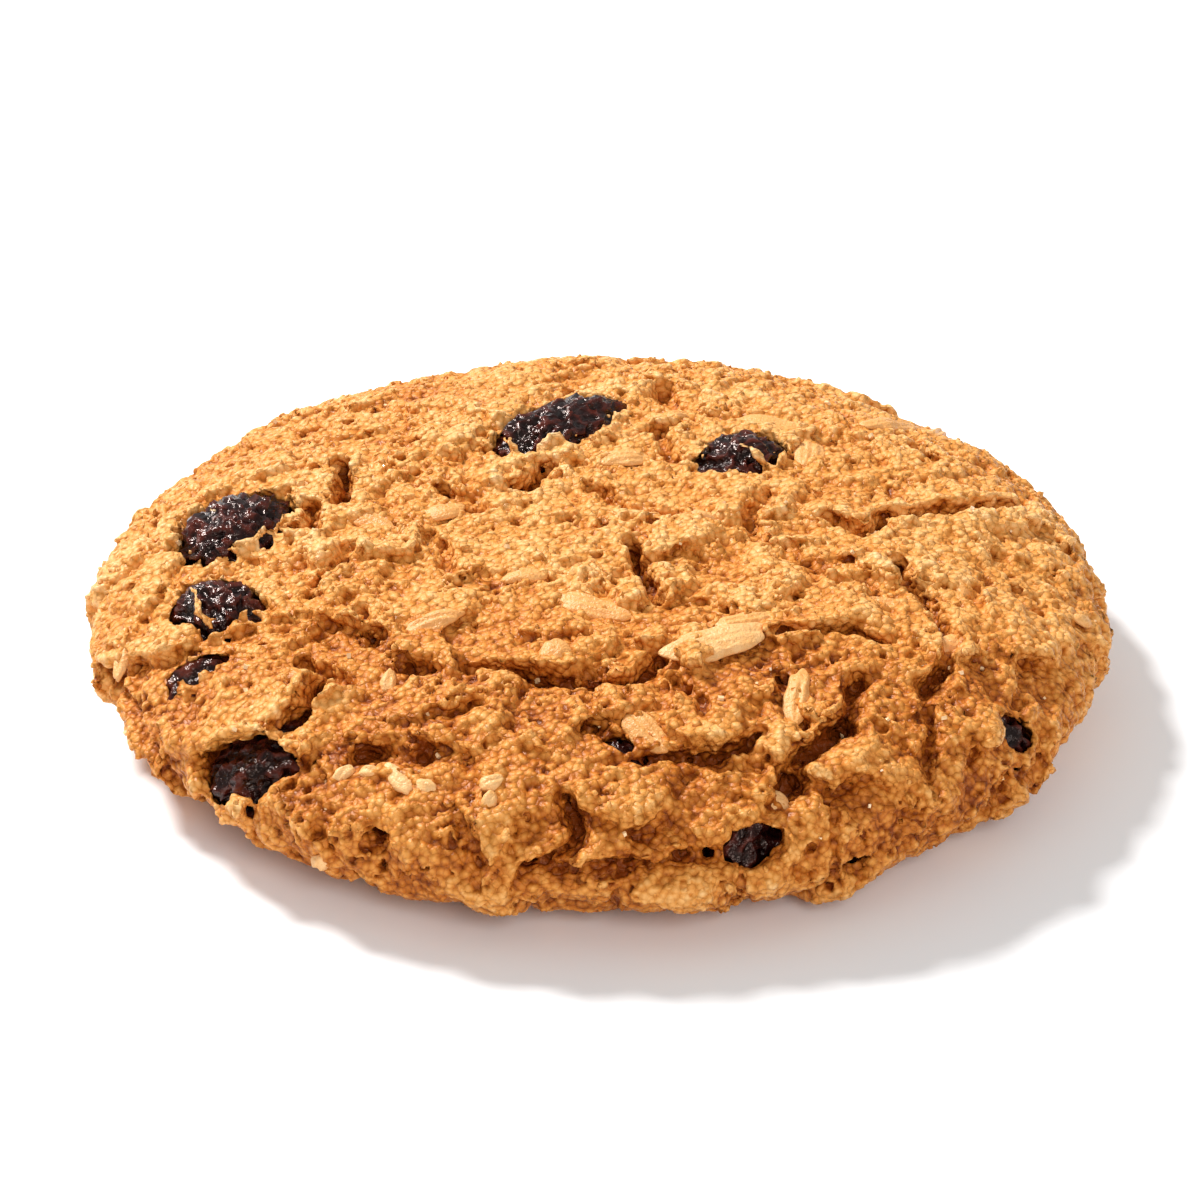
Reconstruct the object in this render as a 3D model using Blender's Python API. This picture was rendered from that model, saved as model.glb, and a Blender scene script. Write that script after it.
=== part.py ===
"""Oatmeal raisin cookie: a baked dough disc with cracks, crags and rolled oats, and raisins set in pockets.

The cookie lies flat on z = 0 with +Z up and its middle over the origin. Sizes in the tables and the functions
are in millimetres; MM turns them into Blender's metres where a mesh is made.

A place on the crust is (u, v): the millimetres walked from the middle of the top, outwards over the rim and
under the base, towards that compass direction. So one flat map covers the top, the side and the underside.
"""

import itertools
import math

import bmesh
import bpy
import numpy as np
from mathutils import Matrix, Vector

MM = 0.001

# Driving dimensions of the dough disc
RADIUS = 43.5
HEIGHT = 16.0
WAIST = 7.0          # height at which the disc is widest
CROWN_POWER = 3.2    # how late the top turns down: 2 is a dome, larger is flatter
CROWN_EDGE = 2.0
BASE_POWER = 7.0
BASE_EDGE = 2.2
BASE_SUNK = 0.3      # the underside is modelled this much low, then cut flat at z = 0
PROFILE_STEPS = 300

# Relief of the crust
SWELL_SIZE, SWELL = 15.0, 0.45
PLATE_SIZE, PLATE_STEP, PLATE_TILT = 8.6, 0.4, 0.05
PLATE_RISE = 0.10        # how much the plates rise towards the front
PLATE_WARP_SIZE, PLATE_WARP = 5.0, 1.5
PARTING_DEPTH, PARTING_WIDTH = 1.0, 1.7
LUMP_SIZE, LUMP = 3.4, 0.35
RUGGED_FRONT = 0.45      # how much rougher the front is than the rest
UNDERSIDE_SHARE = 0.15   # how much of the relief is left under the cookie
CRACK_WANDER_SIZE, CRACK_WANDER = 2.2, 0.5
CRACK_LIP = 0.25
CRACK_SPREAD = 1.45      # how much wider the cracks open than their tabled width
LEAN = 0.55              # how far the crags lean to the front, per millimetre of height
LATTICE = 32             # cells before the noise repeats

# Cracks: depth, half width, then the route over the crust as (u, v)
CRACKS = (
    (2.6, 0.60, (2.6, -4.5), (3.6, -10.0), (5.0, -13.8)),
    (1.2, 0.60, (-1.0, 5.5), (2.4, 1.8), (6.0, 0.2)),
    (1.4, 0.70, (14.6, 4.5), (12.6, 0.5), (13.2, -3.6)),
    (2.2, 0.65, (19.5, 0.2), (22.8, -2.4), (24.2, 1.2), (29.2, 3.4), (36.0, 7.4)),
    (1.5, 0.55, (36.6, 10.5), (38.2, 6.8)),
    (2.1, 0.60, (25.0, -7.5), (28.0, -15.0), (28.5, -19.0), (26.2, -25.6)),
    (1.8, 0.55, (14.3, -19.8), (20.2, -18.0), (23.5, -19.0)),
    (2.1, 0.55, (20.8, -24.5), (20.4, -27.5), (19.4, -30.7)),
    (2.8, 0.90, (19.4, -30.7), (15.6, -34.6), (14.9, -38.0)),
    (1.6, 0.50, (14.2, -25.0), (14.6, -29.0), (15.8, -31.0)),
    (1.9, 0.60, (12.6, -32.4), (9.2, -34.6), (3.0, -36.0), (-0.6, -32.0)),
    (1.9, 0.60, (-10.8, -23.8), (-1.0, -26.6), (2.2, -26.6), (6.0, -21.8)),
    (1.2, 0.90, (-15.4, -23.4), (-10.6, -25.8)),
    (1.5, 0.55, (-13.0, -30.4), (-9.8, -29.4)),
    (1.9, 0.65, (-24.2, -21.4), (-20.4, -24.8)),
    (1.7, 0.50, (-19.4, -15.4), (-18.4, -20.0)),
    (3.0, 0.80, (-22.6, -25.0), (-24.0, -27.0), (-25.2, -29.8)),
    (3.0, 0.65, (-23.2, 12.0), (-22.0, 6.4), (-22.5, 3.8)),
    (1.6, 0.60, (-25.4, 3.0), (-24.2, -0.4), (-27.0, -0.9)),
    (1.4, 0.60, (-21.4, -5.0), (-22.0, -8.0), (-24.0, -9.6)),
    (1.4, 0.60, (-15.2, -2.6), (-13.4, -5.0), (-12.2, -9.4)),
    (1.3, 0.55, (-13.5, 5.5), (-10.2, 1.6)),
    (2.4, 0.90, (-6.8, 6.0), (-4.6, 9.6)),
    (1.8, 1.00, (5.8, 27.0), (6.4, 21.6)),
    (1.3, 0.55, (6.2, -26.0), (8.2, -30.8)),
    (1.2, 0.90, (-19.0, -33.6), (-13.6, -34.4)),
    (2.2, 0.60, (-2.4, -39.4), (-1.4, -43.0), (-6.2, -46.4)),
    (2.4, 0.75, (-6.0, -46.6), (2.6, -46.0), (10.4, -44.6)),
    (1.8, 0.55, (12.2, -45.0), (12.9, -50.0)),
    (1.6, 0.50, (26.2, -27.0), (26.8, -34.4)),
    (1.2, 0.55, (-10.6, -41.6), (-10.0, -46.0)),
    (1.5, 0.60, (-44.0, -13.0), (-41.0, -20.0), (-38.6, -26.6)),
    (1.3, 0.60, (28.2, 16.6), (29.8, 14.0)),
    (1.5, 0.70, (5.0, 16.4), (6.8, 11.2)),
    (2.5, 0.95, (-19.0, -41.8), (-18.2, -42.4)),
)

# Raisins: place on the crust, length, width, thickness, turn in degrees, and how proud of the crust they are
RAISINS = {
    "raisin_left": ((-31.6, 1.8), 13.4, 9.8, 7.0, 84, 1.2),
    "raisin_smeared": ((-32.2, -11.6), 9.4, 7.2, 6.0, -50, 0.9),
    "raisin_tucked": ((-33.4, -19.4), 6.6, 4.6, 4.2, 18, -0.6),
    "raisin_front_left": ((-28.4, -31.2), 9.8, 7.8, 5.6, -6, -0.9),
    "raisin_top": ((-3.7, 17.4), 15.2, 7.8, 6.0, 50, 1.5),
    "raisin_top_right": ((12.4, 11.6), 10.0, 7.4, 5.6, 52, 1.1),
    "raisin_right": ((34.6, -26.4), 5.8, 4.4, 3.8, 20, -0.7),
    "raisin_front": ((12.2, -42.2), 6.8, 5.2, 4.6, 30, -1.2),
    "raisin_low_right": ((22.2, -42.6), 5.6, 4.2, 3.8, 10, -0.9),
    "raisin_in_crack": ((1.4, -34.2), 5.2, 4.0, 3.4, -60, -1.1),
    "raisin_back_right": ((25.0, 46.5), 10.5, 7.6, 6.2, -20, 0.5),
    "raisin_back_left": ((-31.0, 42.5), 9.8, 7.2, 6.0, 35, 0.4),
    "raisin_under_left": ((-56.0, 46.0), 9.0, 7.0, 5.0, 15, -0.3),
    "raisin_under_right": ((62.0, -38.0), 9.6, 7.0, 5.0, 70, -0.3),
}
RAISIN_GAP = 0.3
RAISIN_FOLD_SIZE, RAISIN_FOLD = 2.6, 0.34
RAISIN_BEND = 0.5
RAISIN_SUBDIVISIONS = 3
RAISIN_SHARE = 0.75   # of the ball's triangles that a raisin keeps
POCKET_SHARE = 0.45
HIDDEN_RAISINS = {
    "raisin_tucked", "raisin_right", "raisin_front", "raisin_low_right", "raisin_in_crack",
    "raisin_under_left", "raisin_under_right",
}
HIDDEN_RAISIN_SHARE = 0.5

# Windows: where the dough leaves a raisin bare, as place, length, width, turn, and depth under the crust
WINDOWS = (
    ((-31.8, 2.4), 13.6, 10.2, 84, 1.6),
    ((-32.4, -11.4), 8.8, 7.4, -50, 1.4),
    ((-33.3, -19.6), 5.4, 2.0, 8, 2.2),
    ((-28.5, -32.6), 8.8, 5.4, -12, 2.2),
    ((-25.2, -35.0), 3.4, 2.0, 10, 3.4),
    ((-24.3, -28.4), 3.0, 1.8, 60, 3.2),
    ((-3.7, 17.5), 15.4, 8.4, 50, 1.5),
    ((12.4, 11.6), 9.6, 7.0, 52, 1.4),
    ((34.6, -26.5), 3.8, 2.6, 10, 1.8),
    ((12.3, -42.9), 4.8, 3.2, 30, 2.8),
    ((22.0, -42.9), 3.0, 1.7, 10, 2.0),
    ((1.4, -33.8), 2.2, 1.5, -30, 2.4),
    ((25.0, 46.5), 9.6, 6.8, -20, 1.4),
    ((-31.0, 42.5), 8.6, 6.0, 35, 1.4),
    ((-56.0, 46.0), 8.2, 6.2, 15, 1.6),
    ((62.0, -38.0), 8.6, 6.2, 70, 1.6),
)
WINDOW_RAGGED_SIZE, WINDOW_RAGGED = 1.8, 0.16
WINDOW_SOFTNESS = 0.4

# Rolled oats that show in the photographed side: place, length, width and turn in degrees
OATS = (
    ((9.2, -21.6), 8.6, 4.2, 27),
    ((11.6, -17.6), 5.6, 2.8, 22),
    ((-0.6, -14.6), 7.0, 3.2, -22),
    ((3.6, -33.0), 5.8, 3.2, -52),
    ((15.6, -27.6), 7.2, 2.6, 84),
    ((14.2, 18.0), 7.2, 4.8, -12),
    ((2.2, 11.2), 5.2, 3.2, 18),
    ((8.2, 12.6), 6.0, 2.4, 62),
    ((26.2, 21.4), 7.2, 3.4, 46),
    ((-13.6, -17.6), 5.4, 2.6, 16),
    ((29.0, -17.4), 3.6, 2.6, 60),
    ((-19.4, 0.0), 5.0, 3.0, -40),
    ((-41.0, -14.4), 4.6, 2.4, 70),
    ((-34.0, 14.0), 6.4, 3.4, 40),
)
SCATTERED_OATS = 8
SCATTER_SEED = 11
OAT_SIDES = 10
OAT_THICKNESS = 0.75
OAT_PROUD = 0.32
OAT_CUP = 0.18        # how far the rim of a flake is bent down

# Meshing
DOUGH_SUBDIVISIONS = 7
DOUGH_SHARE = 0.070   # of the fine ball's triangles that the dough keeps

DOUGH_COLOUR = (0.62, 0.33, 0.12, 1.0)
RAISIN_COLOUR = (0.045, 0.014, 0.014, 1.0)


# Noise

def smooth_step(low, high, x):
    """0 below low, 1 above high, and a smooth rise between."""
    t = np.clip((x - low) / (high - low), 0.0, 1.0)
    return t * t * (3.0 - 2.0 * t)


def waves(points, size, seed):
    """Smooth noise from about -1 to 1, whose bumps are about size across."""
    table = np.random.default_rng(seed).uniform(-1.0, 1.0, (LATTICE,) * 3)
    scaled = points / size
    cell = np.floor(scaled).astype(int)
    part = scaled - cell
    part = part * part * (3.0 - 2.0 * part)
    total = np.zeros(len(points))
    for corner in itertools.product((0, 1), repeat=3):
        at = (cell + corner) % LATTICE
        weight = np.prod(np.where(np.array(corner, bool), part, 1.0 - part), axis=1)
        total += weight * table[at[:, 0], at[:, 1], at[:, 2]]
    return total


def cells(points, size, seed):
    """For one scattered seed a cell: the distance to the nearest, how much further the second is,
    the way from the nearest seed to the point, and three random numbers that the nearest seed holds."""
    random = np.random.default_rng(seed)
    jitter = random.uniform(0.08, 0.92, (LATTICE,) * 3 + (3,))
    marks = random.uniform(-1.0, 1.0, (LATTICE,) * 3 + (3,))
    scaled = points / size
    cell = np.floor(scaled).astype(int)
    nearest = np.full(len(points), np.inf)
    second = np.full(len(points), np.inf)
    way = np.zeros((len(points), 3))
    mark = np.zeros((len(points), 3))
    for step in itertools.product((-1, 0, 1), repeat=3):
        at = (cell + step) % LATTICE
        offset = scaled - cell - step - jitter[at[:, 0], at[:, 1], at[:, 2]]
        distance = np.linalg.norm(offset, axis=1)
        closer = distance < nearest
        second = np.where(closer, nearest, np.minimum(second, distance))
        nearest = np.where(closer, distance, nearest)
        way[closer] = offset[closer]
        mark[closer] = marks[at[closer, 0], at[closer, 1], at[closer, 2]]
    return nearest * size, (second - nearest) * size, way * size, mark


# The plain disc

def body_profile():
    """The disc's outline from the middle of the top to the middle of the base: walked length, radius, height."""
    share = np.sin(np.linspace(0.0, math.pi / 2, PROFILE_STEPS))
    top = WAIST + (HEIGHT - WAIST) * (1.0 - share**CROWN_POWER) ** (1.0 / CROWN_EDGE)
    under = WAIST + BASE_SUNK
    bottom = WAIST - under * (1.0 - share**BASE_POWER) ** (1.0 / BASE_EDGE)
    radius = np.concatenate([share, share[-2::-1]]) * RADIUS
    height = np.concatenate([top, bottom[-2::-1]])
    steps = np.hypot(np.diff(radius), np.diff(height))
    return np.concatenate([[0.0], np.cumsum(steps)]), radius, height


WALKED, PROFILE_RADIUS, PROFILE_HEIGHT = body_profile()


def on_body(u, v):
    """Points of the plain disc at (u, v), with the outward normals."""
    walked = np.hypot(u, v)
    turn = np.arctan2(v, u)
    radius = np.interp(walked, WALKED, PROFILE_RADIUS)
    height = np.interp(walked, WALKED, PROFILE_HEIGHT)
    nudge = 0.2
    radius_rise = np.interp(walked + nudge, WALKED, PROFILE_RADIUS) - np.interp(walked - nudge, WALKED, PROFILE_RADIUS)
    height_rise = np.interp(walked + nudge, WALKED, PROFILE_HEIGHT) - np.interp(walked - nudge, WALKED, PROFILE_HEIGHT)
    size = np.hypot(radius_rise, height_rise) + 1e-9
    outward, upward = -height_rise / size, radius_rise / size
    points = np.stack([radius * np.cos(turn), radius * np.sin(turn), height], axis=1)
    normals = np.stack([outward * np.cos(turn), outward * np.sin(turn), upward], axis=1)
    return points, normals


# The relief of the crust

def distance_to_route(u, v, route):
    """Distance over the crust's map from (u, v) to a bent line."""
    best = np.full(len(u), np.inf)
    for (u0, v0), (u1, v1) in zip(route, route[1:]):
        along_u, along_v = u1 - u0, v1 - v0
        share = ((u - u0) * along_u + (v - v0) * along_v) / (along_u**2 + along_v**2)
        share = np.clip(share, 0.0, 1.0)
        best = np.minimum(best, np.hypot(u - u0 - share * along_u, v - v0 - share * along_v))
    return best


def inside_oval(u, v, place, length, width, turn):
    """Distance from an oval's middle, as a share of the way to its edge."""
    angle = math.radians(turn)
    du, dv = u - place[0], v - place[1]
    along = du * math.cos(angle) + dv * math.sin(angle)
    across = dv * math.cos(angle) - du * math.sin(angle)
    return np.hypot(along / (length / 2), across / (width / 2))


def crust_share(u, v):
    """1 on the top and the side, and little under the cookie."""
    walked = np.hypot(u, v)
    side_end = np.interp(RADIUS * 0.97, PROFILE_RADIUS[PROFILE_STEPS:][::-1], WALKED[PROFILE_STEPS:][::-1])
    base_start = np.interp(RADIUS * 0.88, PROFILE_RADIUS[PROFILE_STEPS:][::-1], WALKED[PROFILE_STEPS:][::-1])
    return 1.0 - (1.0 - UNDERSIDE_SHARE) * smooth_step(side_end, base_start, walked)


def plates_and_lumps(points):
    """Broad swells, parted plates that sit at unlike heights, and the lumps on them."""
    warp = np.stack([waves(points, PLATE_WARP_SIZE, seed) for seed in (21, 22, 23)], axis=1)
    _, edge, way, mark = cells(points + PLATE_WARP * warp, PLATE_SIZE, 24)
    parted = 0.4 + 0.6 * smooth_step(-0.35, 0.35, waves(points, 13.0, 25))
    rugged = 1.0 + RUGGED_FRONT * smooth_step(-12.0, -32.0, points[:, 1])
    plates = PLATE_STEP * mark[:, 0] + PLATE_TILT * (mark[:, 1] * way[:, 0] + mark[:, 2] * way[:, 1])
    plates -= PLATE_RISE * way[:, 1]
    plates -= PARTING_DEPTH * parted * (1.0 - smooth_step(0.2, 1.0, edge / PARTING_WIDTH))
    nearest, _, _, lump_mark = cells(points + 0.5 * warp, LUMP_SIZE, 27)
    rough = 0.65 + 0.35 * waves(points, 9.0, 28)
    lumps = LUMP * (0.45 - (nearest / (0.7 * LUMP_SIZE)) ** 2 + 0.3 * lump_mark[:, 0])
    return SWELL * waves(points, SWELL_SIZE, 26) + rugged * (plates + rough * lumps)


def relief(u, v):
    """Height of the crust over the plain disc, along its normal."""
    points, _ = on_body(u, v)
    height = plates_and_lumps(points)
    wander_u = u + CRACK_WANDER * waves(points, CRACK_WANDER_SIZE, 31)
    wander_v = v + CRACK_WANDER * waves(points, CRACK_WANDER_SIZE, 32)
    fade = 0.8 + 0.35 * waves(points, 3.0, 33)
    for depth, half_width, *route in CRACKS:
        away = distance_to_route(wander_u, wander_v, route) / (half_width * CRACK_SPREAD)
        height += CRACK_LIP * np.exp(-(((away - 2.4) / 1.0) ** 2))
        height -= depth * fade * (1.0 - smooth_step(0.45, 1.25, away))
    height *= crust_share(u, v)
    ragged = WINDOW_RAGGED * waves(points, WINDOW_RAGGED_SIZE, 34)
    for place, length, width, turn, depth in WINDOWS:
        bare = 1.0 - smooth_step(1.0 - WINDOW_SOFTNESS, 1.0, inside_oval(u, v, place, length, width, turn) + ragged)
        height = height * (1.0 - bare) + np.minimum(height, -depth) * bare
    return height


# Meshes

def new_object(name, mesh, collection):
    obj = bpy.data.objects.new(name, mesh)
    collection.objects.link(obj)
    return obj


def mesh_points(mesh):
    points = np.empty(len(mesh.vertices) * 3)
    mesh.vertices.foreach_get("co", points)
    return points.reshape(-1, 3)


def set_mesh_points(mesh, points):
    mesh.vertices.foreach_set("co", points.astype(np.float32).ravel())
    mesh.update()


def ball(name, subdivisions):
    """A unit ball of even triangles."""
    mesh = bpy.data.meshes.new(name)
    cage = bmesh.new()
    bmesh.ops.create_icosphere(cage, subdivisions=subdivisions, radius=1.0)
    cage.to_mesh(mesh)
    cage.free()
    return mesh


def material(name, colour, roughness):
    finish = bpy.data.materials.new(name)
    finish.use_nodes = True
    shader = finish.node_tree.nodes["Principled BSDF"]
    shader.inputs["Base Color"].default_value = colour
    shader.inputs["Roughness"].default_value = roughness
    shader.inputs["Metallic"].default_value = 0.0
    return finish


def bake_modifiers(obj):
    """Replaces the object's mesh with what its modifiers make of it."""
    graph = bpy.context.evaluated_depsgraph_get()
    made = bpy.data.meshes.new_from_object(obj.evaluated_get(graph))
    obj.modifiers.clear()
    obj.data = made


def decimate_and_shrink(obj, share):
    """Thins the mesh while it is still in millimetres, as the thinning is blind to smaller sizes."""
    fewer = obj.modifiers.new("Fewer triangles", "DECIMATE")
    fewer.ratio = share
    bake_modifiers(obj)
    obj.data.transform(Matrix.Scale(MM, 4))


def make_dough(collection):
    """The disc, from a fine ball whose points are walked out over the crust's map and lifted by the relief."""
    mesh = ball("dough", DOUGH_SUBDIVISIONS)
    ways = mesh_points(mesh)
    ways /= np.linalg.norm(ways, axis=1)[:, None]
    turn = np.arctan2(ways[:, 1], ways[:, 0])
    walked = np.arccos(np.clip(ways[:, 2], -1.0, 1.0)) / math.pi * WALKED[-1]
    u, v = walked * np.cos(turn), walked * np.sin(turn)
    height = relief(u, v)
    points, normals = on_body(u, v - LEAN * crust_share(u, v) * height)
    points = points + normals * height[:, None]
    points[:, 2] = np.maximum(points[:, 2], 0.0)
    set_mesh_points(mesh, points)
    dough = new_object("dough", mesh, collection)
    decimate_and_shrink(dough, DOUGH_SHARE)
    points = mesh_points(dough.data)
    points[:, 2] = np.maximum(points[:, 2], 0.0)
    set_mesh_points(dough.data, points)
    return dough


def crust_frame(place, turn, lift):
    """Matrix that sets a shape on the crust: X along the turn, Z out of the crust, lifted by lift."""
    points, normals = on_body(np.array([place[0]]), np.array([place[1]]))
    out = Vector(normals[0])
    walk_turn = math.atan2(place[1], place[0])
    side = Vector((-math.sin(walk_turn), math.cos(walk_turn), 0.0))
    along = side.cross(out)
    angle = math.radians(turn) - walk_turn
    x_axis = along * math.cos(angle) + side * math.sin(angle)
    y_axis = out.cross(x_axis)
    spin = Matrix((x_axis, y_axis, out)).transposed().to_4x4()
    return Matrix.Translation((Vector(points[0]) + out * lift) * MM) @ spin


def raisin_points(ways, length, width, thickness, seed):
    """A plump oval, bent a little and folded in wrinkles."""
    folds = np.abs(waves(ways * (length, width, thickness) * 0.5 + seed * 7.3, RAISIN_FOLD_SIZE, 41))
    swell = waves(ways * 3.0 + seed * 3.1, 2.0, 42)
    reach = 1.0 + (RAISIN_FOLD * (folds * 2.0 - 0.8) + 0.25 * swell) / (thickness / 2)
    points = ways * (length / 2, width / 2, thickness / 2) * reach[:, None]
    points[:, 1] += RAISIN_BEND * (np.cos(ways[:, 0] * math.pi * 0.5) - 0.5)
    return points


def make_raisin(name, seed, collection, cutters, finish):
    """One raisin, and the slightly larger cutter that makes its pocket."""
    place, length, width, thickness, turn, proud = RAISINS[name]
    frame = crust_frame(place, turn, proud - thickness / 2)
    made = []
    for label, grown, group in ((name, 0.0, collection), (name + "_pocket", RAISIN_GAP, cutters)):
        mesh = ball(label, RAISIN_SUBDIVISIONS)
        ways = mesh_points(mesh)
        points = raisin_points(ways, length, width, thickness, seed)
        out = ways / np.array([length, width, thickness])
        out /= np.linalg.norm(out, axis=1)[:, None]
        set_mesh_points(mesh, points + out * grown)
        obj = new_object(label, mesh, group)
        obj.matrix_world = frame
        made.append(obj)
    raisin, pocket = made
    decimate_and_shrink(raisin, HIDDEN_RAISIN_SHARE if name in HIDDEN_RAISINS else RAISIN_SHARE)
    decimate_and_shrink(pocket, POCKET_SHARE)
    raisin.data.materials.append(finish)
    raisin.data.shade_smooth()
    pocket.hide_render = True
    pocket.display_type = "WIRE"
    return raisin


def scattered_oats():
    """More flakes where the photographed side has none: the back, the side and the base's rim."""
    random = np.random.default_rng(SCATTER_SEED)
    flakes = []
    while len(flakes) < SCATTERED_OATS:
        turn = random.uniform(0.0, 2.0 * math.pi)
        walked = random.uniform(8.0, WALKED[-1] * 0.62)
        place = (walked * math.cos(turn), walked * math.sin(turn))
        length = random.uniform(4.5, 7.5)
        flake = (place, length, length * random.uniform(0.42, 0.6), random.uniform(0.0, 180.0))
        others = [other[0] for other in (*OATS, *flakes)] + [window[0] for window in WINDOWS]
        if min(math.dist(place, other) for other in others) > 8.5:
            flakes.append(flake)
    return flakes


def make_oat(number, flake, collection):
    """One rolled oat: a flat oval with a cupped rim, sunk so that it stands a little proud of the dough."""
    place, length, width, turn = flake
    ring_turns = np.linspace(0.0, 2.0 * math.pi, 9)[:-1]
    ring_u = place[0] + 0.3 * length * np.cos(ring_turns)
    ring_v = place[1] + 0.3 * length * np.sin(ring_turns)
    rest = float(np.mean(relief(np.append(ring_u, place[0]), np.append(ring_v, place[1]))))
    bpy.ops.mesh.primitive_cylinder_add(vertices=OAT_SIDES, radius=0.5, depth=1.0, end_fill_type="TRIFAN")
    flake_object = bpy.context.object
    flake_object.name = f"oat_{number:02d}"
    points = mesh_points(flake_object.data) * (length, width, OAT_THICKNESS)
    out = np.hypot(points[:, 0] / length, points[:, 1] / width) * 2.0
    points[:, 2] -= OAT_CUP * out**2 + 0.06 * np.sin(points[:, 0] * 2.1 + number)
    set_mesh_points(flake_object.data, points * MM)
    flake_object.matrix_world = crust_frame(place, turn, rest + OAT_PROUD - OAT_THICKNESS / 2)
    for group in list(flake_object.users_collection):
        group.objects.unlink(flake_object)
    collection.objects.link(flake_object)


def boolean(obj, operation, collection):
    cut = obj.modifiers.new(operation.title(), "BOOLEAN")
    cut.operation = operation
    cut.operand_type = "COLLECTION"
    cut.collection = collection
    cut.solver = "MANIFOLD"


def drop_scraps(obj):
    """Keeps the largest connected piece of the mesh."""
    whole = bmesh.new()
    whole.from_mesh(obj.data)
    left = set(whole.verts)
    pieces = []
    while left:
        found = {left.pop()}
        edge_of = list(found)
        while edge_of:
            vert = edge_of.pop()
            for link in vert.link_edges:
                other = link.other_vert(vert)
                if other in left:
                    left.discard(other)
                    found.add(other)
                    edge_of.append(other)
        pieces.append(found)
    pieces.sort(key=len)
    scraps = [vert for piece in pieces[:-1] for vert in piece]
    bmesh.ops.delete(whole, geom=scraps, context="VERTS")
    bmesh.ops.triangulate(whole, faces=whole.faces)
    whole.to_mesh(obj.data)
    whole.free()


def clear_scene():
    for obj in list(bpy.data.objects):
        bpy.data.objects.remove(obj)


def new_collection(name):
    collection = bpy.data.collections.new(name)
    bpy.context.scene.collection.children.link(collection)
    return collection


def main():
    clear_scene()
    cookie = new_collection("cookie")
    cutters = new_collection("pockets")
    oats = new_collection("oats")
    dough_finish = material("baked_dough", DOUGH_COLOUR, 0.75)
    raisin_finish = material("raisin", RAISIN_COLOUR, 0.3)
    dough = make_dough(cookie)
    for number, flake in enumerate([*OATS, *scattered_oats()]):
        make_oat(number, flake, oats)
    for seed, name in enumerate(RAISINS):
        make_raisin(name, seed, cookie, cutters, raisin_finish)
    bpy.context.view_layer.update()
    boolean(dough, "UNION", oats)
    boolean(dough, "DIFFERENCE", cutters)
    bake_modifiers(dough)
    drop_scraps(dough)
    dough.data.materials.clear()
    dough.data.materials.append(dough_finish)
    dough.data.shade_smooth()
    dough.data.set_sharp_from_angle(angle=math.radians(40.0))
    for obj in list(oats.objects):
        bpy.data.objects.remove(obj)
    bpy.data.collections.remove(oats)


main()
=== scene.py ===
"""Looks of the oatmeal raisin cookie: crumbly baked dough with cracks, rolled oats, sugar grains and raisins.

Sizes in the tables and functions are in millimetres. MM turns them into Blender's metres.
A place on the crust is (u, v): the millimetres walked from the middle of the top, outwards over the rim and
under the base, towards that compass direction. So one flat map covers the top, the side and the underside.
"""

import itertools
import math

import bmesh
import bpy
import numpy as np
import openvdb
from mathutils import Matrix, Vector


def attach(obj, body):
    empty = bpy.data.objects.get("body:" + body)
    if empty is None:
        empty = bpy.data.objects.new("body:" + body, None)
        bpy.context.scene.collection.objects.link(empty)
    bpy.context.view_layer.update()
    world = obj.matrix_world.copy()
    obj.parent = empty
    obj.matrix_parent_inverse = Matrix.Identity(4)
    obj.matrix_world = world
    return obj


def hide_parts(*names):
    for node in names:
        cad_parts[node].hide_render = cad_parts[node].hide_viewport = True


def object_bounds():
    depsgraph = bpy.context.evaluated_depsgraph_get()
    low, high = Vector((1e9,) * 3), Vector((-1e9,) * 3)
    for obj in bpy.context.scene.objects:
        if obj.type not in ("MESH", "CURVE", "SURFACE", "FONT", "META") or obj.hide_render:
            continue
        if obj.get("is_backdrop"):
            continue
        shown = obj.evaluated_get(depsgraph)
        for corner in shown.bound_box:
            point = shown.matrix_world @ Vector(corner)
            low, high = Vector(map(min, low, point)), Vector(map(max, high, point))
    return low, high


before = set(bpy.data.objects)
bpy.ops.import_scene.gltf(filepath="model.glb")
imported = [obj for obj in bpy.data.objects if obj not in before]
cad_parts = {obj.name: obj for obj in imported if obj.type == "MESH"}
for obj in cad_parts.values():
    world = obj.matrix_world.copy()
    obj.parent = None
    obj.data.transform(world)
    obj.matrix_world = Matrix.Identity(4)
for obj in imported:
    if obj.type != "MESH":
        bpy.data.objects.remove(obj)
CAD_LOW, CAD_HIGH = ([float(number) for number in corner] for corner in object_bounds())

MM = 0.001

# The plain disc, as in the solids
RADIUS = 43.5
HEIGHT = 16.0
WAIST = 7.0
CROWN_POWER, CROWN_EDGE = 3.2, 2.0
BASE_POWER, BASE_EDGE = 7.0, 2.2
BASE_SUNK = 0.3
PROFILE_STEPS = 300
PROFILE_NUDGE = 0.2      # how far on both sides of a place its slope is taken
SIDE_END, BASE_START = 0.97 * RADIUS, 0.88 * RADIUS

# Relief of the crust
SWELL_SIZE, SWELL = 15.0, 0.45
PLATE_SIZE, PLATE_STEP, PLATE_TILT = 8.6, 0.4, 0.05
PLATE_RISE = 0.10        # how much the plates rise towards the front
RISE_FROM, RISE_TO = 12.0, -18.0
FLAKE_SIZE, FLAKE_STEP, FLAKE_RISE, FLAKE_TILT = 3.9, 0.2, 0.12, 0.06
PLATE_WARP_SIZE, PLATE_WARP = 5.0, 1.5
FRAY_SIZE, PLATE_FRAY, FLAKE_FRAY, LUMP_FRAY = 1.4, 0.45, 0.35, 0.3
FLAKE_WARP, LUMP_WARP = 0.7, 0.5
PARTING_DEPTH, PARTING_WIDTH = 0.7, 0.9
PARTED_PATCH = 13.0      # size of the patches where the plates part
ROUGH_PATCH = 9.0        # size of the patches where the flakes and lumps are higher
LUMP_SIZE, LUMP = 3.4, 0.25
RUGGED_FRONT = 0.45      # how much rougher the front is than the rest
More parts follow.
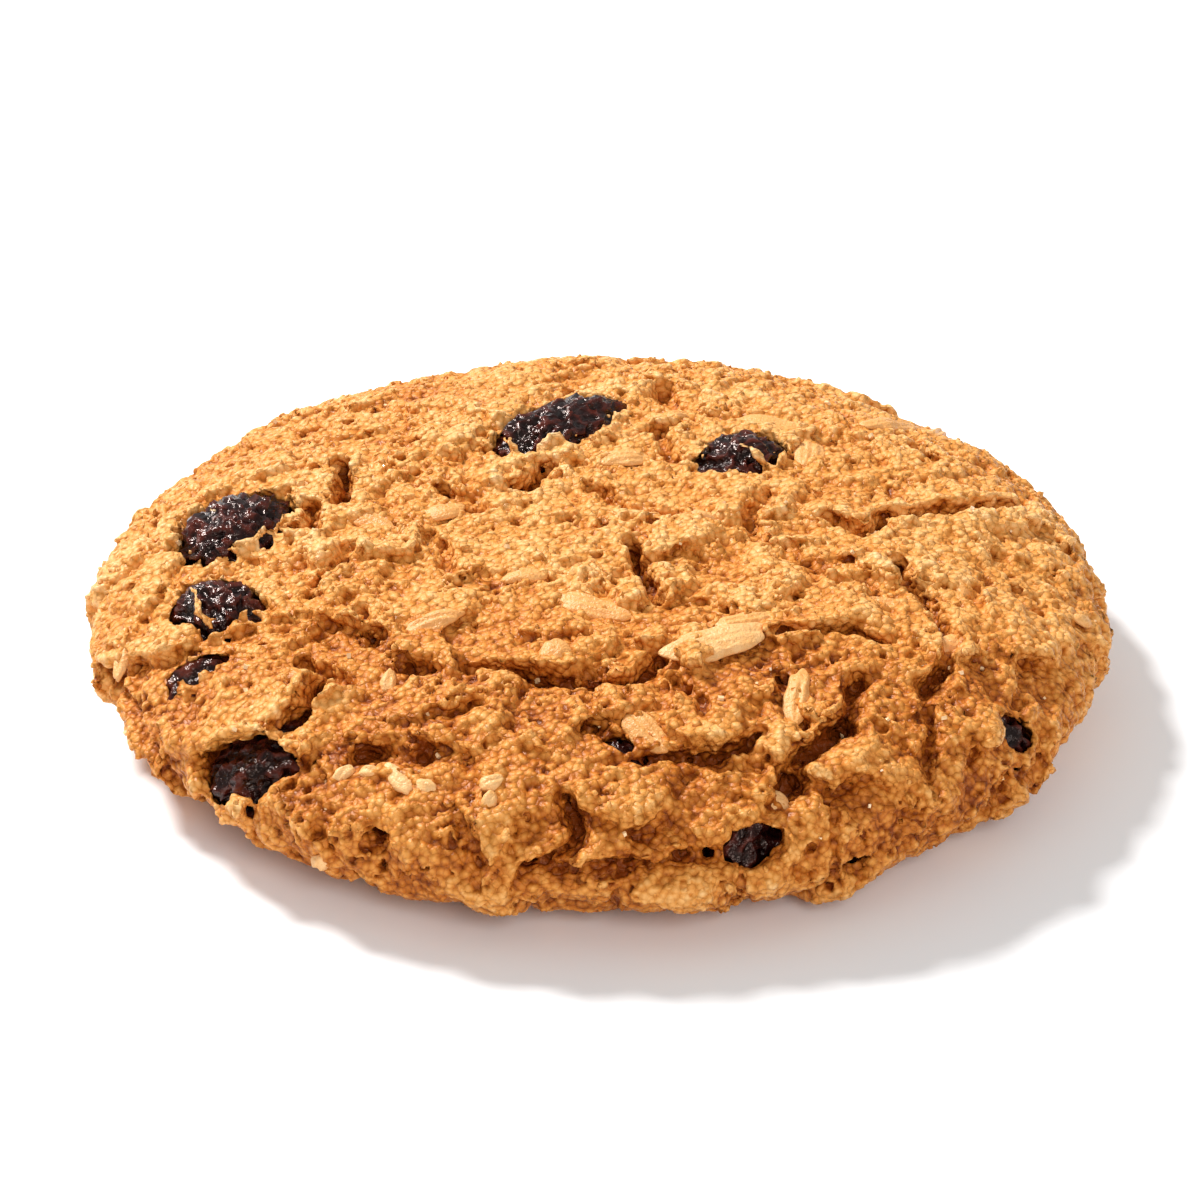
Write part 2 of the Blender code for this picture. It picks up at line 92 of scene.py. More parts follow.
RUGGED_FROM, RUGGED_TO = -12.0, -32.0
CALM_BACK = 0.35         # how much smoother the back is
CALM_FROM, CALM_TO = -4.0, 18.0
UNDERSIDE_SHARE = 0.15   # how much of the relief is left under the cookie
CRACK_WANDER_SIZE, CRACK_WANDER = 2.2, 0.5
CRACK_RAG_SIZE, CRACK_RAG = 1.1, 0.25
CRACK_LIP, LIP_AWAY = 0.25, 2.4
CRACK_FADE_SIZE, CRACK_FADE = 3.0, 0.35
CRACK_SPREAD = 1.05      # how much wider the cracks open than their tabled width
CRACK_DEEPER = 1.15      # how much deeper the cracks are here than their tabled depth
LEAN = 0.55              # how far the crags lean to the front, per millimetre of height
LATTICE = 32             # cells before the noise repeats

# Cracks: depth, half width, then the route over the crust as (u, v)
CRACKS = (
    (2.6, 0.60, (2.6, -4.5), (3.6, -10.0), (5.0, -13.8)),
    (1.2, 0.60, (-1.0, 5.5), (2.4, 1.8), (6.0, 0.2)),
    (1.4, 0.70, (14.6, 4.5), (12.6, 0.5), (13.2, -3.6)),
    (2.2, 0.65, (19.5, 0.2), (22.8, -2.4), (24.2, 1.2), (29.2, 3.4), (36.0, 7.4)),
    (1.5, 0.55, (36.6, 10.5), (38.2, 6.8)),
    (2.1, 0.60, (25.0, -7.5), (28.0, -15.0), (28.5, -19.0), (26.2, -25.6)),
    (1.8, 0.55, (14.3, -19.8), (20.2, -18.0), (23.5, -19.0)),
    (2.1, 0.55, (20.8, -24.5), (20.4, -27.5), (19.4, -30.7)),
    (2.8, 0.90, (19.4, -30.7), (15.6, -34.6), (14.9, -38.0)),
    (1.6, 0.50, (14.2, -25.0), (14.6, -29.0), (15.8, -31.0)),
    (1.9, 0.60, (12.6, -32.4), (9.2, -34.6), (3.0, -36.0), (-0.6, -32.0)),
    (1.9, 0.60, (-10.8, -23.8), (-1.0, -26.6), (2.2, -26.6), (6.0, -21.8)),
    (1.2, 0.90, (-15.4, -23.4), (-10.6, -25.8)),
    (1.5, 0.55, (-13.0, -30.4), (-9.8, -29.4)),
    (1.9, 0.65, (-24.2, -21.4), (-20.4, -24.8)),
    (1.7, 0.50, (-19.4, -15.4), (-18.4, -20.0)),
    (3.0, 0.80, (-22.6, -25.0), (-24.0, -27.0), (-25.2, -29.8)),
    (3.0, 0.65, (-23.2, 12.0), (-22.0, 6.4), (-22.5, 3.8)),
    (1.6, 0.60, (-25.4, 3.0), (-24.2, -0.4), (-27.0, -0.9)),
    (1.4, 0.60, (-21.4, -5.0), (-22.0, -8.0), (-24.0, -9.6)),
    (1.4, 0.60, (-15.2, -2.6), (-13.4, -5.0), (-12.2, -9.4)),
    (1.3, 0.55, (-13.5, 5.5), (-10.2, 1.6)),
    (2.4, 0.90, (-6.8, 6.0), (-4.6, 9.6)),
    (1.8, 1.00, (5.8, 27.0), (6.4, 21.6)),
    (1.3, 0.55, (6.2, -26.0), (8.2, -30.8)),
    (1.2, 0.90, (-19.0, -33.6), (-13.6, -34.4)),
    (2.2, 0.60, (-2.4, -39.4), (-1.4, -43.0), (-6.2, -46.4)),
    (2.4, 0.75, (-6.0, -46.6), (2.6, -46.0), (10.4, -44.6)),
    (1.8, 0.55, (12.2, -45.0), (12.9, -50.0)),
    (1.6, 0.50, (26.2, -27.0), (26.8, -34.4)),
    (1.2, 0.55, (-10.6, -41.6), (-10.0, -46.0)),
    (1.5, 0.60, (-44.0, -13.0), (-41.0, -20.0), (-38.6, -26.6)),
    (1.3, 0.60, (28.2, 16.6), (29.8, 14.0)),
    (1.5, 0.70, (5.0, 16.4), (6.8, 11.2)),
    (2.5, 0.95, (-19.0, -41.8), (-18.2, -42.4)),
)

# Raisins: place on the crust, length, width, thickness, turn in degrees, and how proud of the crust they are
RAISINS = {
    "raisin_left": ((-31.6, 1.8), 13.4, 9.8, 7.0, 84, 1.2),
    "raisin_smeared": ((-32.2, -11.6), 9.4, 7.2, 6.0, -50, 0.9),
    "raisin_tucked": ((-33.4, -19.4), 6.6, 4.6, 4.2, 18, -0.6),
    "raisin_front_left": ((-28.4, -31.2), 9.8, 7.8, 5.6, -6, -0.9),
    "raisin_top": ((-3.7, 17.4), 15.2, 7.8, 6.0, 50, 1.5),
    "raisin_top_right": ((12.4, 11.6), 10.0, 7.4, 5.6, 52, 1.1),
    "raisin_right": ((34.6, -26.4), 5.8, 4.4, 3.8, 20, -0.7),
    "raisin_front": ((12.2, -42.2), 6.8, 5.2, 4.6, 30, -1.2),
    "raisin_low_right": ((22.2, -42.6), 5.6, 4.2, 3.8, 10, -0.9),
    "raisin_in_crack": ((1.4, -34.2), 5.2, 4.0, 3.4, -60, -1.1),
    "raisin_back_right": ((25.0, 46.5), 10.5, 7.6, 6.2, -20, 0.5),
    "raisin_back_left": ((-31.0, 42.5), 9.8, 7.2, 6.0, 35, 0.4),
    "raisin_under_left": ((-56.0, 46.0), 9.0, 7.0, 5.0, 15, -0.3),
    "raisin_under_right": ((62.0, -38.0), 9.6, 7.0, 5.0, 70, -0.3),
}
RAISIN_FOLD_SIZE, RAISIN_FOLD = 2.6, 0.34
RAISIN_WARP_SIZE, RAISIN_WARP = 1.6, 0.5
LONG_FOLD_SIZE, LONG_FOLD = 0.95, 0.46
FINE_FOLD_SIZE, FINE_FOLD = 0.6, 0.26
RAISIN_SWELL = 0.2
RAISIN_BEND = 0.5

# Raisins with more triangles, because much of them shows
WELL_SHOWN = {"raisin_left", "raisin_smeared", "raisin_front_left", "raisin_top", "raisin_top_right"}

# Windows: where the dough leaves a raisin bare, as place, length, width, turn, and depth under the crust
WINDOWS = (
    ((-31.8, 2.4), 13.6, 10.2, 84, 1.6),
    ((-32.4, -11.4), 8.8, 7.4, -50, 1.4),
    ((-33.3, -19.6), 5.4, 2.0, 8, 2.2),
    ((-29.4, -31.9), 11.2, 6.0, -12, 2.2),
    ((-25.4, -34.4), 3.6, 2.2, 10, 3.4),
    ((-24.3, -28.4), 3.0, 1.8, 60, 3.2),
    ((-3.7, 17.5), 15.4, 8.4, 50, 1.5),
    ((12.4, 11.6), 9.6, 7.0, 52, 1.4),
    ((34.6, -26.5), 3.8, 2.6, 10, 1.8),
    ((12.3, -43.3), 5.0, 3.6, 30, 2.8),
    ((22.0, -42.9), 3.0, 1.7, 10, 2.0),
    ((1.4, -33.8), 2.2, 1.5, -30, 2.4),
    ((25.0, 46.5), 9.6, 6.8, -20, 1.4),
    ((-31.0, 42.5), 8.6, 6.0, 35, 1.4),
    ((-56.0, 46.0), 8.2, 6.2, 15, 1.6),
    ((62.0, -38.0), 8.6, 6.2, 70, 1.6),
)
WINDOW_RAGGED_SIZE, WINDOW_RAGGED = 1.8, 0.24
WINDOW_FRAY_SIZE, WINDOW_FRAY = 0.8, 0.17
WINDOW_SOFTNESS = 0.2
UNDER_ROOF = 0.8         # how far below a raisin's top an open window reaches
DEEPEST = 4.5

# Dough smeared over the raisins: half width, then the route
SMEARS = (
    (0.8, (-34.0, -9.8), (-32.8, -13.0), (-31.8, -15.4)),
    (1.0, (-35.0, -16.0), (-30.8, -15.6)),
    (0.6, (-8.0, 13.6), (-6.6, 11.2)),
    (0.6, (-5.0, 12.2), (-3.2, 13.2)),
    (0.7, (2.6, 19.8), (1.2, 18.2)),
    (1.4, (7.2, 8.6), (9.0, 14.8)),
    (0.7, (14.8, 8.6), (12.6, 11.4)),
    (0.5, (-33.4, 2.9), (-32.9, 2.2)),
    (1.3, (-31.4, -5.0), (-25.4, 1.2)),
    (0.45, (-24.4, -34.2), (-26.6, -34.9)),
)
SMEAR_SKIN = 0.75

# Rolled oats: place, length, width, turn in degrees, how proud of the dough they lie, and how pale they are
OATS = (
    ((9.2, -21.6), 8.6, 4.0, 27, 0.55, 0.8),
    ((11.6, -17.6), 5.0, 2.4, 22, 0.25, 0.5),
    ((-0.6, -14.6), 7.0, 3.0, -22, 0.12, 0.45),
    ((-6.3, -9.8), 3.8, 2.4, 10, 0.2, 0.45),
    ((-3.7, -22.4), 2.8, 2.6, 80, 0.4, 0.3),
    ((3.6, -32.6), 5.0, 2.6, -52, 0.1, 0.4),
    ((15.6, -27.6), 6.4, 2.2, 84, 0.2, 0.5),
    ((14.2, 18.0), 7.0, 4.4, -12, 0.15, 0.5),
    ((2.2, 11.2), 5.0, 2.8, 18, 0.35, 0.55),
    ((26.2, 21.4), 7.0, 3.0, 46, 0.3, 0.5),
    ((31.2, 24.4), 4.6, 2.0, 70, 0.3, 0.5),
    ((-13.5, 2.0), 4.0, 2.4, 20, 0.2, 0.4),
    ((-13.6, -17.6), 5.0, 2.2, 16, 0.2, 0.4),
    ((-17.0, -24.8), 3.0, 1.2, 82, 0.35, 0.7),
    ((-15.9, -36.4), 3.4, 1.5, -56, 0.45, 1.0),
    ((-13.8, -37.4), 2.0, 1.3, -30, 0.35, 0.9),
    ((-20.5, -34.8), 1.9, 1.4, 40, 0.35, 0.9),
    ((-18.3, -35.1), 1.7, 1.3, -20, 0.35, 0.8),
    ((-8.4, -38.0), 2.2, 1.5, 20, 0.35, 0.9),
    ((-8.6, -39.6), 1.6, 1.2, 60, 0.35, 0.8),
    ((14.0, -38.3), 2.7, 2.1, -30, 0.4, 0.8),
    ((29.0, -17.4), 3.0, 2.0, 60, 0.25, 0.5),
    ((-19.4, 0.0), 4.6, 2.6, -40, 0.1, 0.3),
    ((-24.3, -41.9), 2.2, 1.4, 20, 0.35, 0.8),
    ((-41.0, -14.4), 3.6, 1.6, 70, 0.3, 0.6),
    ((32.3, -28.0), 2.4, 0.9, 70, 0.35, 0.7),
    ((41.6, -8.4), 2.4, 1.6, 30, 0.3, 0.6),
)
SCATTERED_OATS = 18
SCATTERED_LENGTH, SCATTERED_SHAPE = (1.8, 5.5), (0.42, 0.62)
SCATTERED_REACH = 0.6    # how far out they lie, as a share of the walk to the middle of the base
OAT_THICKNESS = 0.6
OAT_CUP = 0.3
OAT_GROOVE, OAT_GROOVE_WIDTH = 0.12, 0.22
OAT_RIB, OAT_RIB_SPACING = 0.09, 0.72
OAT_APART = 5.5
LARGE_OAT = 4.5          # length above which a flake has more triangles

# The field of distances, and what is added to it near the crust
VOXEL = 0.48
FIELD_REACH = 46.8       # half the field's width
FIELD_LOW, FIELD_HIGH = -1.5, 19.5
FIELD_CLIP = 3.0
SKIN_BAND = 1.0          # how far from the crust the field gets its clumps and pores
CRUMBLE_WARP_SIZE, CLUMP_WARP, PORE_WARP = 1.7, 0.35, 0.4
CLUMP_SIZE, CLUMP = 2.2, 0.24
CLUMP_GAP, CLUMP_GAP_WIDTH = 0.14, 0.3
PORE_SIZE, PORE_RADIUS = 2.1, 0.8
NO_PORE = -9.0           # a depth in a pore that no pore reaches
FINE_FROM = 1.2          # height above which the dough's mesh is split finer
FINE_FADE = 0.8
DOUGH_PIECES = 8
BAND_BELOW, BAND_ABOVE = 5.2, 2.2        # the relief counts between these heights
MAP_STEP = 0.2
MAP_REACH = 80.0
LEVEL_REACH = 12         # cells of the map over which the crust's level is averaged
RAISIN_CLEARANCE = 0.16
RAISIN_REACH = 9.5       # no part of a raisin or its pocket is further from its middle
BOX_MARGIN = 0.06

# Grains, as relief on the finer mesh: size, height, and how unevenly high they stand
KNOB = (1.15, 0.16, 0.5)
GRAIN = (0.62, 0.05, 0.07)
GRAIN_WARP_SIZE, GRAIN_WARP = 0.5, 0.14
HOLE_DEPTH, HOLE_PATCH = 0.36, 3.6
HOLE_FROM = 0.82         # the mark above which a grain is missing
FRONT_BAKE_AND_SHADE = 1.15       # how much darker the front is, partly baked brown and partly painted shade on the side away from the key light, as millimetres of depth
# where the front's painted shade and browning begins and where it is full
FRONT_SHADE_FROM, FRONT_SHADE_TO = -6.0, -28.0

# Loose crumbs and sugar grains: number, smallest and largest radius or half width
CRUMBS = (1300, 0.2, 0.42)
CRUMB_GRAIN = 0.12       # the grain height that the material sees on a crumb, which gives it the painted lighter tone of a grain top
ON_OAT = 0.1             # the share of crumbs that stays on an oat
SUGAR = (90, 0.08, 0.2)
SUGAR_TRIES = 900
SUGAR_PROUD = 0.08
SUGAR_FROM = 2.0         # height above which there is sugar


# Noise

def smooth_step(low, high, x):
    """0 below low, 1 above high, and a smooth rise between."""
    t = np.clip((x - low) / (high - low), 0.0, 1.0)
    return t * t * (3.0 - 2.0 * t)


def waves(points, size, seed):
    """Smooth noise from about -1 to 1, whose bumps are about size across."""
    table = np.random.default_rng(seed).uniform(-1.0, 1.0, (LATTICE,) * 3)
    scaled = points / size
    cell = np.floor(scaled).astype(int)
    part = scaled - cell
    part = part * part * (3.0 - 2.0 * part)
    total = np.zeros(len(points))
    for corner in itertools.product((0, 1), repeat=3):
        at = (cell + corner) % LATTICE
        weight = np.prod(np.where(np.array(corner, bool), part, 1.0 - part), axis=1)
        total += weight * table[at[:, 0], at[:, 1], at[:, 2]]
    return total


def drift(points, size, seed):
    """Smooth noise as a vector at each point, from three seeds in a row."""
    return np.stack([waves(points, size, seed + axis) for axis in range(3)], axis=1)


def cells(points, size, seed):
    """For one scattered seed a cell: the distance to the nearest, how much further the second is,
    the way from the nearest seed to the point, and three random numbers that the nearest seed holds."""
    random = np.random.default_rng(seed)
    jitter = random.uniform(0.08, 0.92, (LATTICE,) * 3 + (3,))
    marks = random.uniform(-1.0, 1.0, (LATTICE,) * 3 + (3,))
    scaled = points / size
    cell = np.floor(scaled).astype(int)
    nearest = np.full(len(points), np.inf)
    second = np.full(len(points), np.inf)
    way = np.zeros((len(points), 3))
    mark = np.zeros((len(points), 3))
    for step in itertools.product((-1, 0, 1), repeat=3):
        at = (cell + step) % LATTICE
        offset = scaled - cell - step - jitter[at[:, 0], at[:, 1], at[:, 2]]
        distance = np.linalg.norm(offset, axis=1)
        closer = distance < nearest
        second = np.where(closer, nearest, np.minimum(second, distance))
        nearest = np.where(closer, distance, nearest)
        way[closer] = offset[closer]
        mark[closer] = marks[at[closer, 0], at[closer, 1], at[closer, 2]]
    return nearest * size, (second - nearest) * size, way * size, mark


# The plain disc

def body_profile():
    """The disc's outline from the middle of the top to that of the base: walked length, radius, height."""
    share = np.sin(np.linspace(0.0, math.pi / 2, PROFILE_STEPS))
    top = WAIST + (HEIGHT - WAIST) * (1.0 - share**CROWN_POWER) ** (1.0 / CROWN_EDGE)
    under = WAIST + BASE_SUNK
    bottom = WAIST - under * (1.0 - share**BASE_POWER) ** (1.0 / BASE_EDGE)
    radius = np.concatenate([share, share[-2::-1]]) * RADIUS
    height = np.concatenate([top, bottom[-2::-1]])
    steps = np.hypot(np.diff(radius), np.diff(height))
    return np.concatenate([[0.0], np.cumsum(steps)]), radius, height


WALKED, PROFILE_RADIUS, PROFILE_HEIGHT = body_profile()


def on_body(u, v):
    """Points of the plain disc at (u, v), with the outward normals."""
    walked = np.hypot(u, v)
    turn = np.arctan2(v, u)
    radius = np.interp(walked, WALKED, PROFILE_RADIUS)
    height = np.interp(walked, WALKED, PROFILE_HEIGHT)
    before, after = walked - PROFILE_NUDGE, walked + PROFILE_NUDGE
    radius_rise = np.interp(after, WALKED, PROFILE_RADIUS) - np.interp(before, WALKED, PROFILE_RADIUS)
    height_rise = np.interp(after, WALKED, PROFILE_HEIGHT) - np.interp(before, WALKED, PROFILE_HEIGHT)
    size = np.hypot(radius_rise, height_rise) + 1e-9
    outward, upward = -height_rise / size, radius_rise / size
    points = np.stack([radius * np.cos(turn), radius * np.sin(turn), height], axis=1)
    normals = np.stack([outward * np.cos(turn), outward * np.sin(turn), upward], axis=1)
    return points, normals


class DiscTable:
    """Height over the plain disc and walked length, looked up by distance from the axis and height."""

    STEP = 0.2
    FAR = 50.0
    LOW, HIGH = -4.0, 22.0
    BATCH = 4000         # places worked out at a time, to spare memory

    def __init__(self):
        radii = np.arange(0.0, self.FAR, self.STEP)
        heights = np.arange(self.LOW, self.HIGH, self.STEP)
        self.shape = (len(radii), len(heights))
        at = np.stack(np.meshgrid(radii, heights, indexing="ij"), axis=-1).reshape(-1, 2)
        outline = np.stack([PROFILE_RADIUS, PROFILE_HEIGHT], axis=1)
        nearest = np.empty(len(at), int)
        for start in range(0, len(at), self.BATCH):
            part = at[start:start + self.BATCH]
            apart = ((part[:, None, :] - outline[None]) ** 2).sum(axis=2)
            nearest[start:start + self.BATCH] = apart.argmin(axis=1)
        distance = np.full(len(at), np.inf)
        walked = np.zeros(len(at))
        for side in (-1, 0):
            first = np.clip(nearest + side, 0, len(outline) - 2)
            run = outline[first + 1] - outline[first]
            share = ((at - outline[first]) * run).sum(axis=1) / (run**2).sum(axis=1)
            share = np.clip(share, 0.0, 1.0)
            apart = np.linalg.norm(at - outline[first] - share[:, None] * run, axis=1)
            closer = apart < distance
            distance = np.where(closer, apart, distance)
            walked = np.where(closer, WALKED[first] + share * (WALKED[first + 1] - WALKED[first]), walked)
        widest = PROFILE_STEPS - 1
        top = np.interp(at[:, 0], PROFILE_RADIUS[:widest + 1], PROFILE_HEIGHT[:widest + 1])
        under = np.interp(at[:, 0], PROFILE_RADIUS[widest:][::-1], PROFILE_HEIGHT[widest:][::-1])
        inside = (at[:, 0] < RADIUS) & (at[:, 1] < top) & (at[:, 1] > under)
        self.distance = np.where(inside, -distance, distance).reshape(self.shape)
        self.walked = walked.reshape(self.shape)

    def at(self, points):
        """Height over the disc, and the place (u, v), for points in space."""
        from_axis = np.hypot(points[:, 0], points[:, 1])
        column = np.clip(from_axis / self.STEP, 0, self.shape[0] - 1.001)
        row = np.clip((points[:, 2] - self.LOW) / self.STEP, 0, self.shape[1] - 1.001)
        height = bilinear(self.distance, column, row)
        walked = bilinear(self.walked, column, row)
        out = walked / np.maximum(from_axis, 1e-6)
        return height, points[:, 0] * out, points[:, 1] * out


def bilinear(table, column, row):
    """The table's value between its cells."""
    c, r = column.astype(int), row.astype(int)
    cs, rs = column - c, row - r
    return (
        table[c, r] * (1 - cs) * (1 - rs) + table[c + 1, r] * cs * (1 - rs)
        + table[c, r + 1] * (1 - cs) * rs + table[c + 1, r + 1] * cs * rs
    )


# The relief of the crust

def distance_to_route(u, v, route):
    """Distance over the crust's map from (u, v) to a bent line."""
    best = np.full(len(u), np.inf)
    for (u0, v0), (u1, v1) in zip(route, route[1:]):
        along_u, along_v = u1 - u0, v1 - v0
        share = ((u - u0) * along_u + (v - v0) * along_v) / (along_u**2 + along_v**2)
        share = np.clip(share, 0.0, 1.0)
        best = np.minimum(best, np.hypot(u - u0 - share * along_u, v - v0 - share * along_v))
    return best


def oval_share(u, v, place, length, width, turn):
    """Distance from an oval's middle, as a share of the way to its edge."""
    angle = math.radians(turn)
    du, dv = u - place[0], v - place[1]
    along = du * math.cos(angle) + dv * math.sin(angle)
    across = dv * math.cos(angle) - du * math.sin(angle)
    return np.hypot(along / (length / 2), across / (width / 2))


def crust_share(u, v):
    """1 on the top and the side, and little under the cookie."""
    inwards, walked_in = PROFILE_RADIUS[PROFILE_STEPS:][::-1], WALKED[PROFILE_STEPS:][::-1]
    side_end, base_start = np.interp([SIDE_END, BASE_START], inwards, walked_in)
    return 1.0 - (1.0 - UNDERSIDE_SHARE) * smooth_step(side_end, base_start, np.hypot(u, v))


def plates_and_lumps(points):
    """Broad swells, plates at unlike heights that rise to the front, and their flakes and lumps."""
    warp = drift(points, PLATE_WARP_SIZE, 21)
    fray = drift(points, FRAY_SIZE, 35)
    _, edge, way, mark = cells(points + PLATE_WARP * warp + PLATE_FRAY * fray, PLATE_SIZE, 24)
    parted = smooth_step(-0.25, 0.35, waves(points, PARTED_PATCH, 25))
    rugged = 1.0 + RUGGED_FRONT * smooth_step(RUGGED_FROM, RUGGED_TO, points[:, 1])
    plates = PLATE_STEP * mark[:, 0] + PLATE_TILT * (mark[:, 1] * way[:, 0] + mark[:, 2] * way[:, 1])
    facing = 0.4 + 0.6 * smooth_step(RISE_FROM, RISE_TO, points[:, 1])
    plates -= PLATE_RISE * facing * way[:, 1]
    plates -= PARTING_DEPTH * parted * (1.0 - smooth_step(0.2, 1.0, edge / PARTING_WIDTH))
    _, _, flake_way, flake_mark = cells(points + FLAKE_WARP * warp + FLAKE_FRAY * fray, FLAKE_SIZE, 29)
    flakes = FLAKE_STEP * flake_mark[:, 0] + FLAKE_TILT * flake_mark[:, 1] * flake_way[:, 0]
    flakes -= FLAKE_RISE * facing * (0.4 + 0.6 * np.abs(flake_mark[:, 2])) * flake_way[:, 1]
    nearest, _, _, lump_mark = cells(points + LUMP_WARP * warp + LUMP_FRAY * fray, LUMP_SIZE, 27)
    rough = 0.65 + 0.35 * waves(points, ROUGH_PATCH, 28)
    lumps = LUMP * (0.45 - (nearest / (0.7 * LUMP_SIZE)) ** 2 + 0.3 * lump_mark[:, 0])
    calm = 1.0 - CALM_BACK * smooth_step(CALM_FROM, CALM_TO, points[:, 1])
    return SWELL * waves(points, SWELL_SIZE, 26) + rugged * calm * (plates + rough * (flakes + lumps))


def raisin_frame(name):
    """Middle, axes (as rows: along it, across it, out of the crust) and half sizes of a raisin."""
    place, length, width, thickness, turn, proud = RAISINS[name]
    middle, axes = crust_frame(place, turn, proud - thickness / 2)
    return middle, axes, np.array([length, width, thickness]) / 2


def crust_frame(place, turn, lift):
    """Middle and axes (as rows) of a shape on the crust: X along the turn, Z out, lifted by lift."""
    points, normals = on_body(np.array([place[0]]), np.array([place[1]]))
    out = Vector(normals[0])
    walk_turn = math.atan2(place[1], place[0])
    side = Vector((-math.sin(walk_turn), math.cos(walk_turn), 0.0))
    along = side.cross(out)
    angle = math.radians(turn) - walk_turn
    x_axis = along * math.cos(angle) + side * math.sin(angle)
    y_axis = out.cross(x_axis)
    return points[0] + np.array(out) * lift, np.array([x_axis, y_axis, out])


def raisin_roof(name, points, normals):
    """Height over the crust of a raisin's plain oval; minus infinity beside it."""
    middle, axes, half = raisin_frame(name)
    start = (points - middle) @ axes.T / half
    way = normals @ axes.T / half
    a = (way**2).sum(axis=1)
    b = (start * way).sum(axis=1)
    c = (start**2).sum(axis=1) - 1.0
    root = b * b - a * c
    roof = (-b + np.sqrt(np.maximum(root, 0.0))) / a
    return np.where((root > 0.0) & (np.abs(start).max(axis=1) < 4.0), roof, -np.inf)


def relief(u, v):
    """Height of the crust over the plain disc, along its normal."""
    points, normals = on_body(u, v)
    height = plates_and_lumps(points)
    wander_u, wander_v = u.copy(), v.copy()
    for place, seed, rag_seed in ((wander_u, 31, 38), (wander_v, 32, 39)):
        place += CRACK_WANDER * waves(points, CRACK_WANDER_SIZE, seed)
        place += CRACK_RAG * waves(points, CRACK_RAG_SIZE, rag_seed)
    fade = 0.8 + CRACK_FADE * waves(points, CRACK_FADE_SIZE, 33)
    for depth, half_width, *route in CRACKS:
        away = distance_to_route(wander_u, wander_v, route) / (half_width * CRACK_SPREAD)
        height += CRACK_LIP * np.exp(-((away - LIP_AWAY) ** 2))
        height -= CRACK_DEEPER * depth * fade * (1.0 - smooth_step(0.6, 1.15, away))
    height *= crust_share(u, v)
    ragged = WINDOW_RAGGED * waves(points, WINDOW_RAGGED_SIZE, 34)
    ragged += WINDOW_FRAY * waves(points, WINDOW_FRAY_SIZE, 35)
    smeared = np.zeros(len(u))
    for half_width, *route in SMEARS:
        away = distance_to_route(wander_u, wander_v, route) / half_width
        smeared = np.maximum(smeared, 1.0 - smooth_step(0.7, 1.1, away + 2.0 * ragged))
    bare = np.zeros(len(u))
    floor = np.zeros(len(u))
    for place, length, width, turn, depth in WINDOWS:
        share = oval_share(u, v, place, length, width, turn) + ragged
        this = 1.0 - smooth_step(1.0 - WINDOW_SOFTNESS, 1.0, share)
        floor = np.where(this > bare, -depth, floor)
        bare = np.maximum(bare, this)
    bare *= 1.0 - smeared
    roof = np.max([raisin_roof(name, points, normals) for name in RAISINS], axis=0)
    covered = np.maximum(height, roof + SMEAR_SKIN)
    low = np.minimum(height, floor)
    opened = np.where(np.isfinite(roof), np.maximum(np.minimum(low, roof - UNDER_ROOF), -DEEPEST), low)
    return covered * (1.0 - bare) + opened * bare


class CrustMap:
    """The relief, worked out once on a grid over the crust."""

    def __init__(self):
        side = np.arange(-MAP_REACH, MAP_REACH + MAP_STEP, MAP_STEP)
        u, v = np.meshgrid(side, side, indexing="ij")
        near = np.hypot(u, v) < MAP_REACH
        self.height = np.zeros(u.shape)
        self.height[near] = relief(u[near], v[near])
        self.level = blurred(self.height, LEVEL_REACH)

    def look(self, table, u, v):
        """What the height or the level is at (u, v)."""
        column = np.clip((u + MAP_REACH) / MAP_STEP, 0, table.shape[0] - 1.001)
        row = np.clip((v + MAP_REACH) / MAP_STEP, 0, table.shape[1] - 1.001)
        return bilinear(table, column, row)


def blurred(table, reach):
    """The table averaged over squares of that many cells each way, three times over."""
    for _ in range(3):
        for axis in (0, 1):
            margins = [(reach + 1, reach) if other == axis else (0, 0) for other in (0, 1)]
            total = np.cumsum(np.pad(table, margins, "edge"), axis=axis)
            high = np.take(total, range(2 * reach + 1, total.shape[axis]), axis=axis)
            low = np.take(total, range(0, total.shape[axis] - 2 * reach - 1), axis=axis)
            table = (high - low) / (2 * reach + 1)
    return table


# The dough as a field of distances

def crumble(points):
    """Clumps on the crust, as height to add, and how deep a point lies in a pore."""
    warp = drift(points, CRUMBLE_WARP_SIZE, 51)
    clump, gap, _, clump_mark = cells(points + CLUMP_WARP * warp, CLUMP_SIZE, 54)
    height = CLUMP * (0.5 - (clump / 1.5) ** 2 + 0.5 * clump_mark[:, 0])
    height -= CLUMP_GAP * np.exp(-((gap / CLUMP_GAP_WIDTH) ** 2))
    pore, _, _, pore_mark = cells(points + PORE_WARP * warp, PORE_SIZE, 56)
    depth = PORE_RADIUS * np.clip(pore_mark[:, 0], 0.0, 1.0) - pore
    return height, depth


def granulate(points):
    """The height that small fused grains add, with one missing here and there."""
    warp = GRAIN_WARP * drift(points, GRAIN_WARP_SIZE, 61)
    patch = waves(points, HOLE_PATCH, 64)
    size, rise, uneven = KNOB
    knob, _, _, knob_mark = cells(points + warp, size, 55)
    height = rise * (0.5 - (knob / (0.65 * size)) ** 2 + uneven * knob_mark[:, 0])
    size, rise, uneven = GRAIN
    grain, _, _, grain_mark = cells(points + warp, size, 57)
    height += rise * (0.5 - (grain / (0.66 * size)) ** 2) + uneven * grain_mark[:, 0]
    height -= HOLE_DEPTH * smooth_step(0.0, 0.12, grain_mark[:, 1] - HOLE_FROM + 0.45 * patch)
    return height


def raisin_distance(name, points, grown):
    """Roughly the distance outside a raisin's plain oval, grown by that much."""
    middle, axes, half = raisin_frame(name)
    half = half + grown
    local = (points - middle) @ axes.T
    share = np.linalg.norm(local / half, axis=1)
    slope = np.linalg.norm(local / half**2, axis=1) + 1e-9
    return share * (share - 1.0) / slope


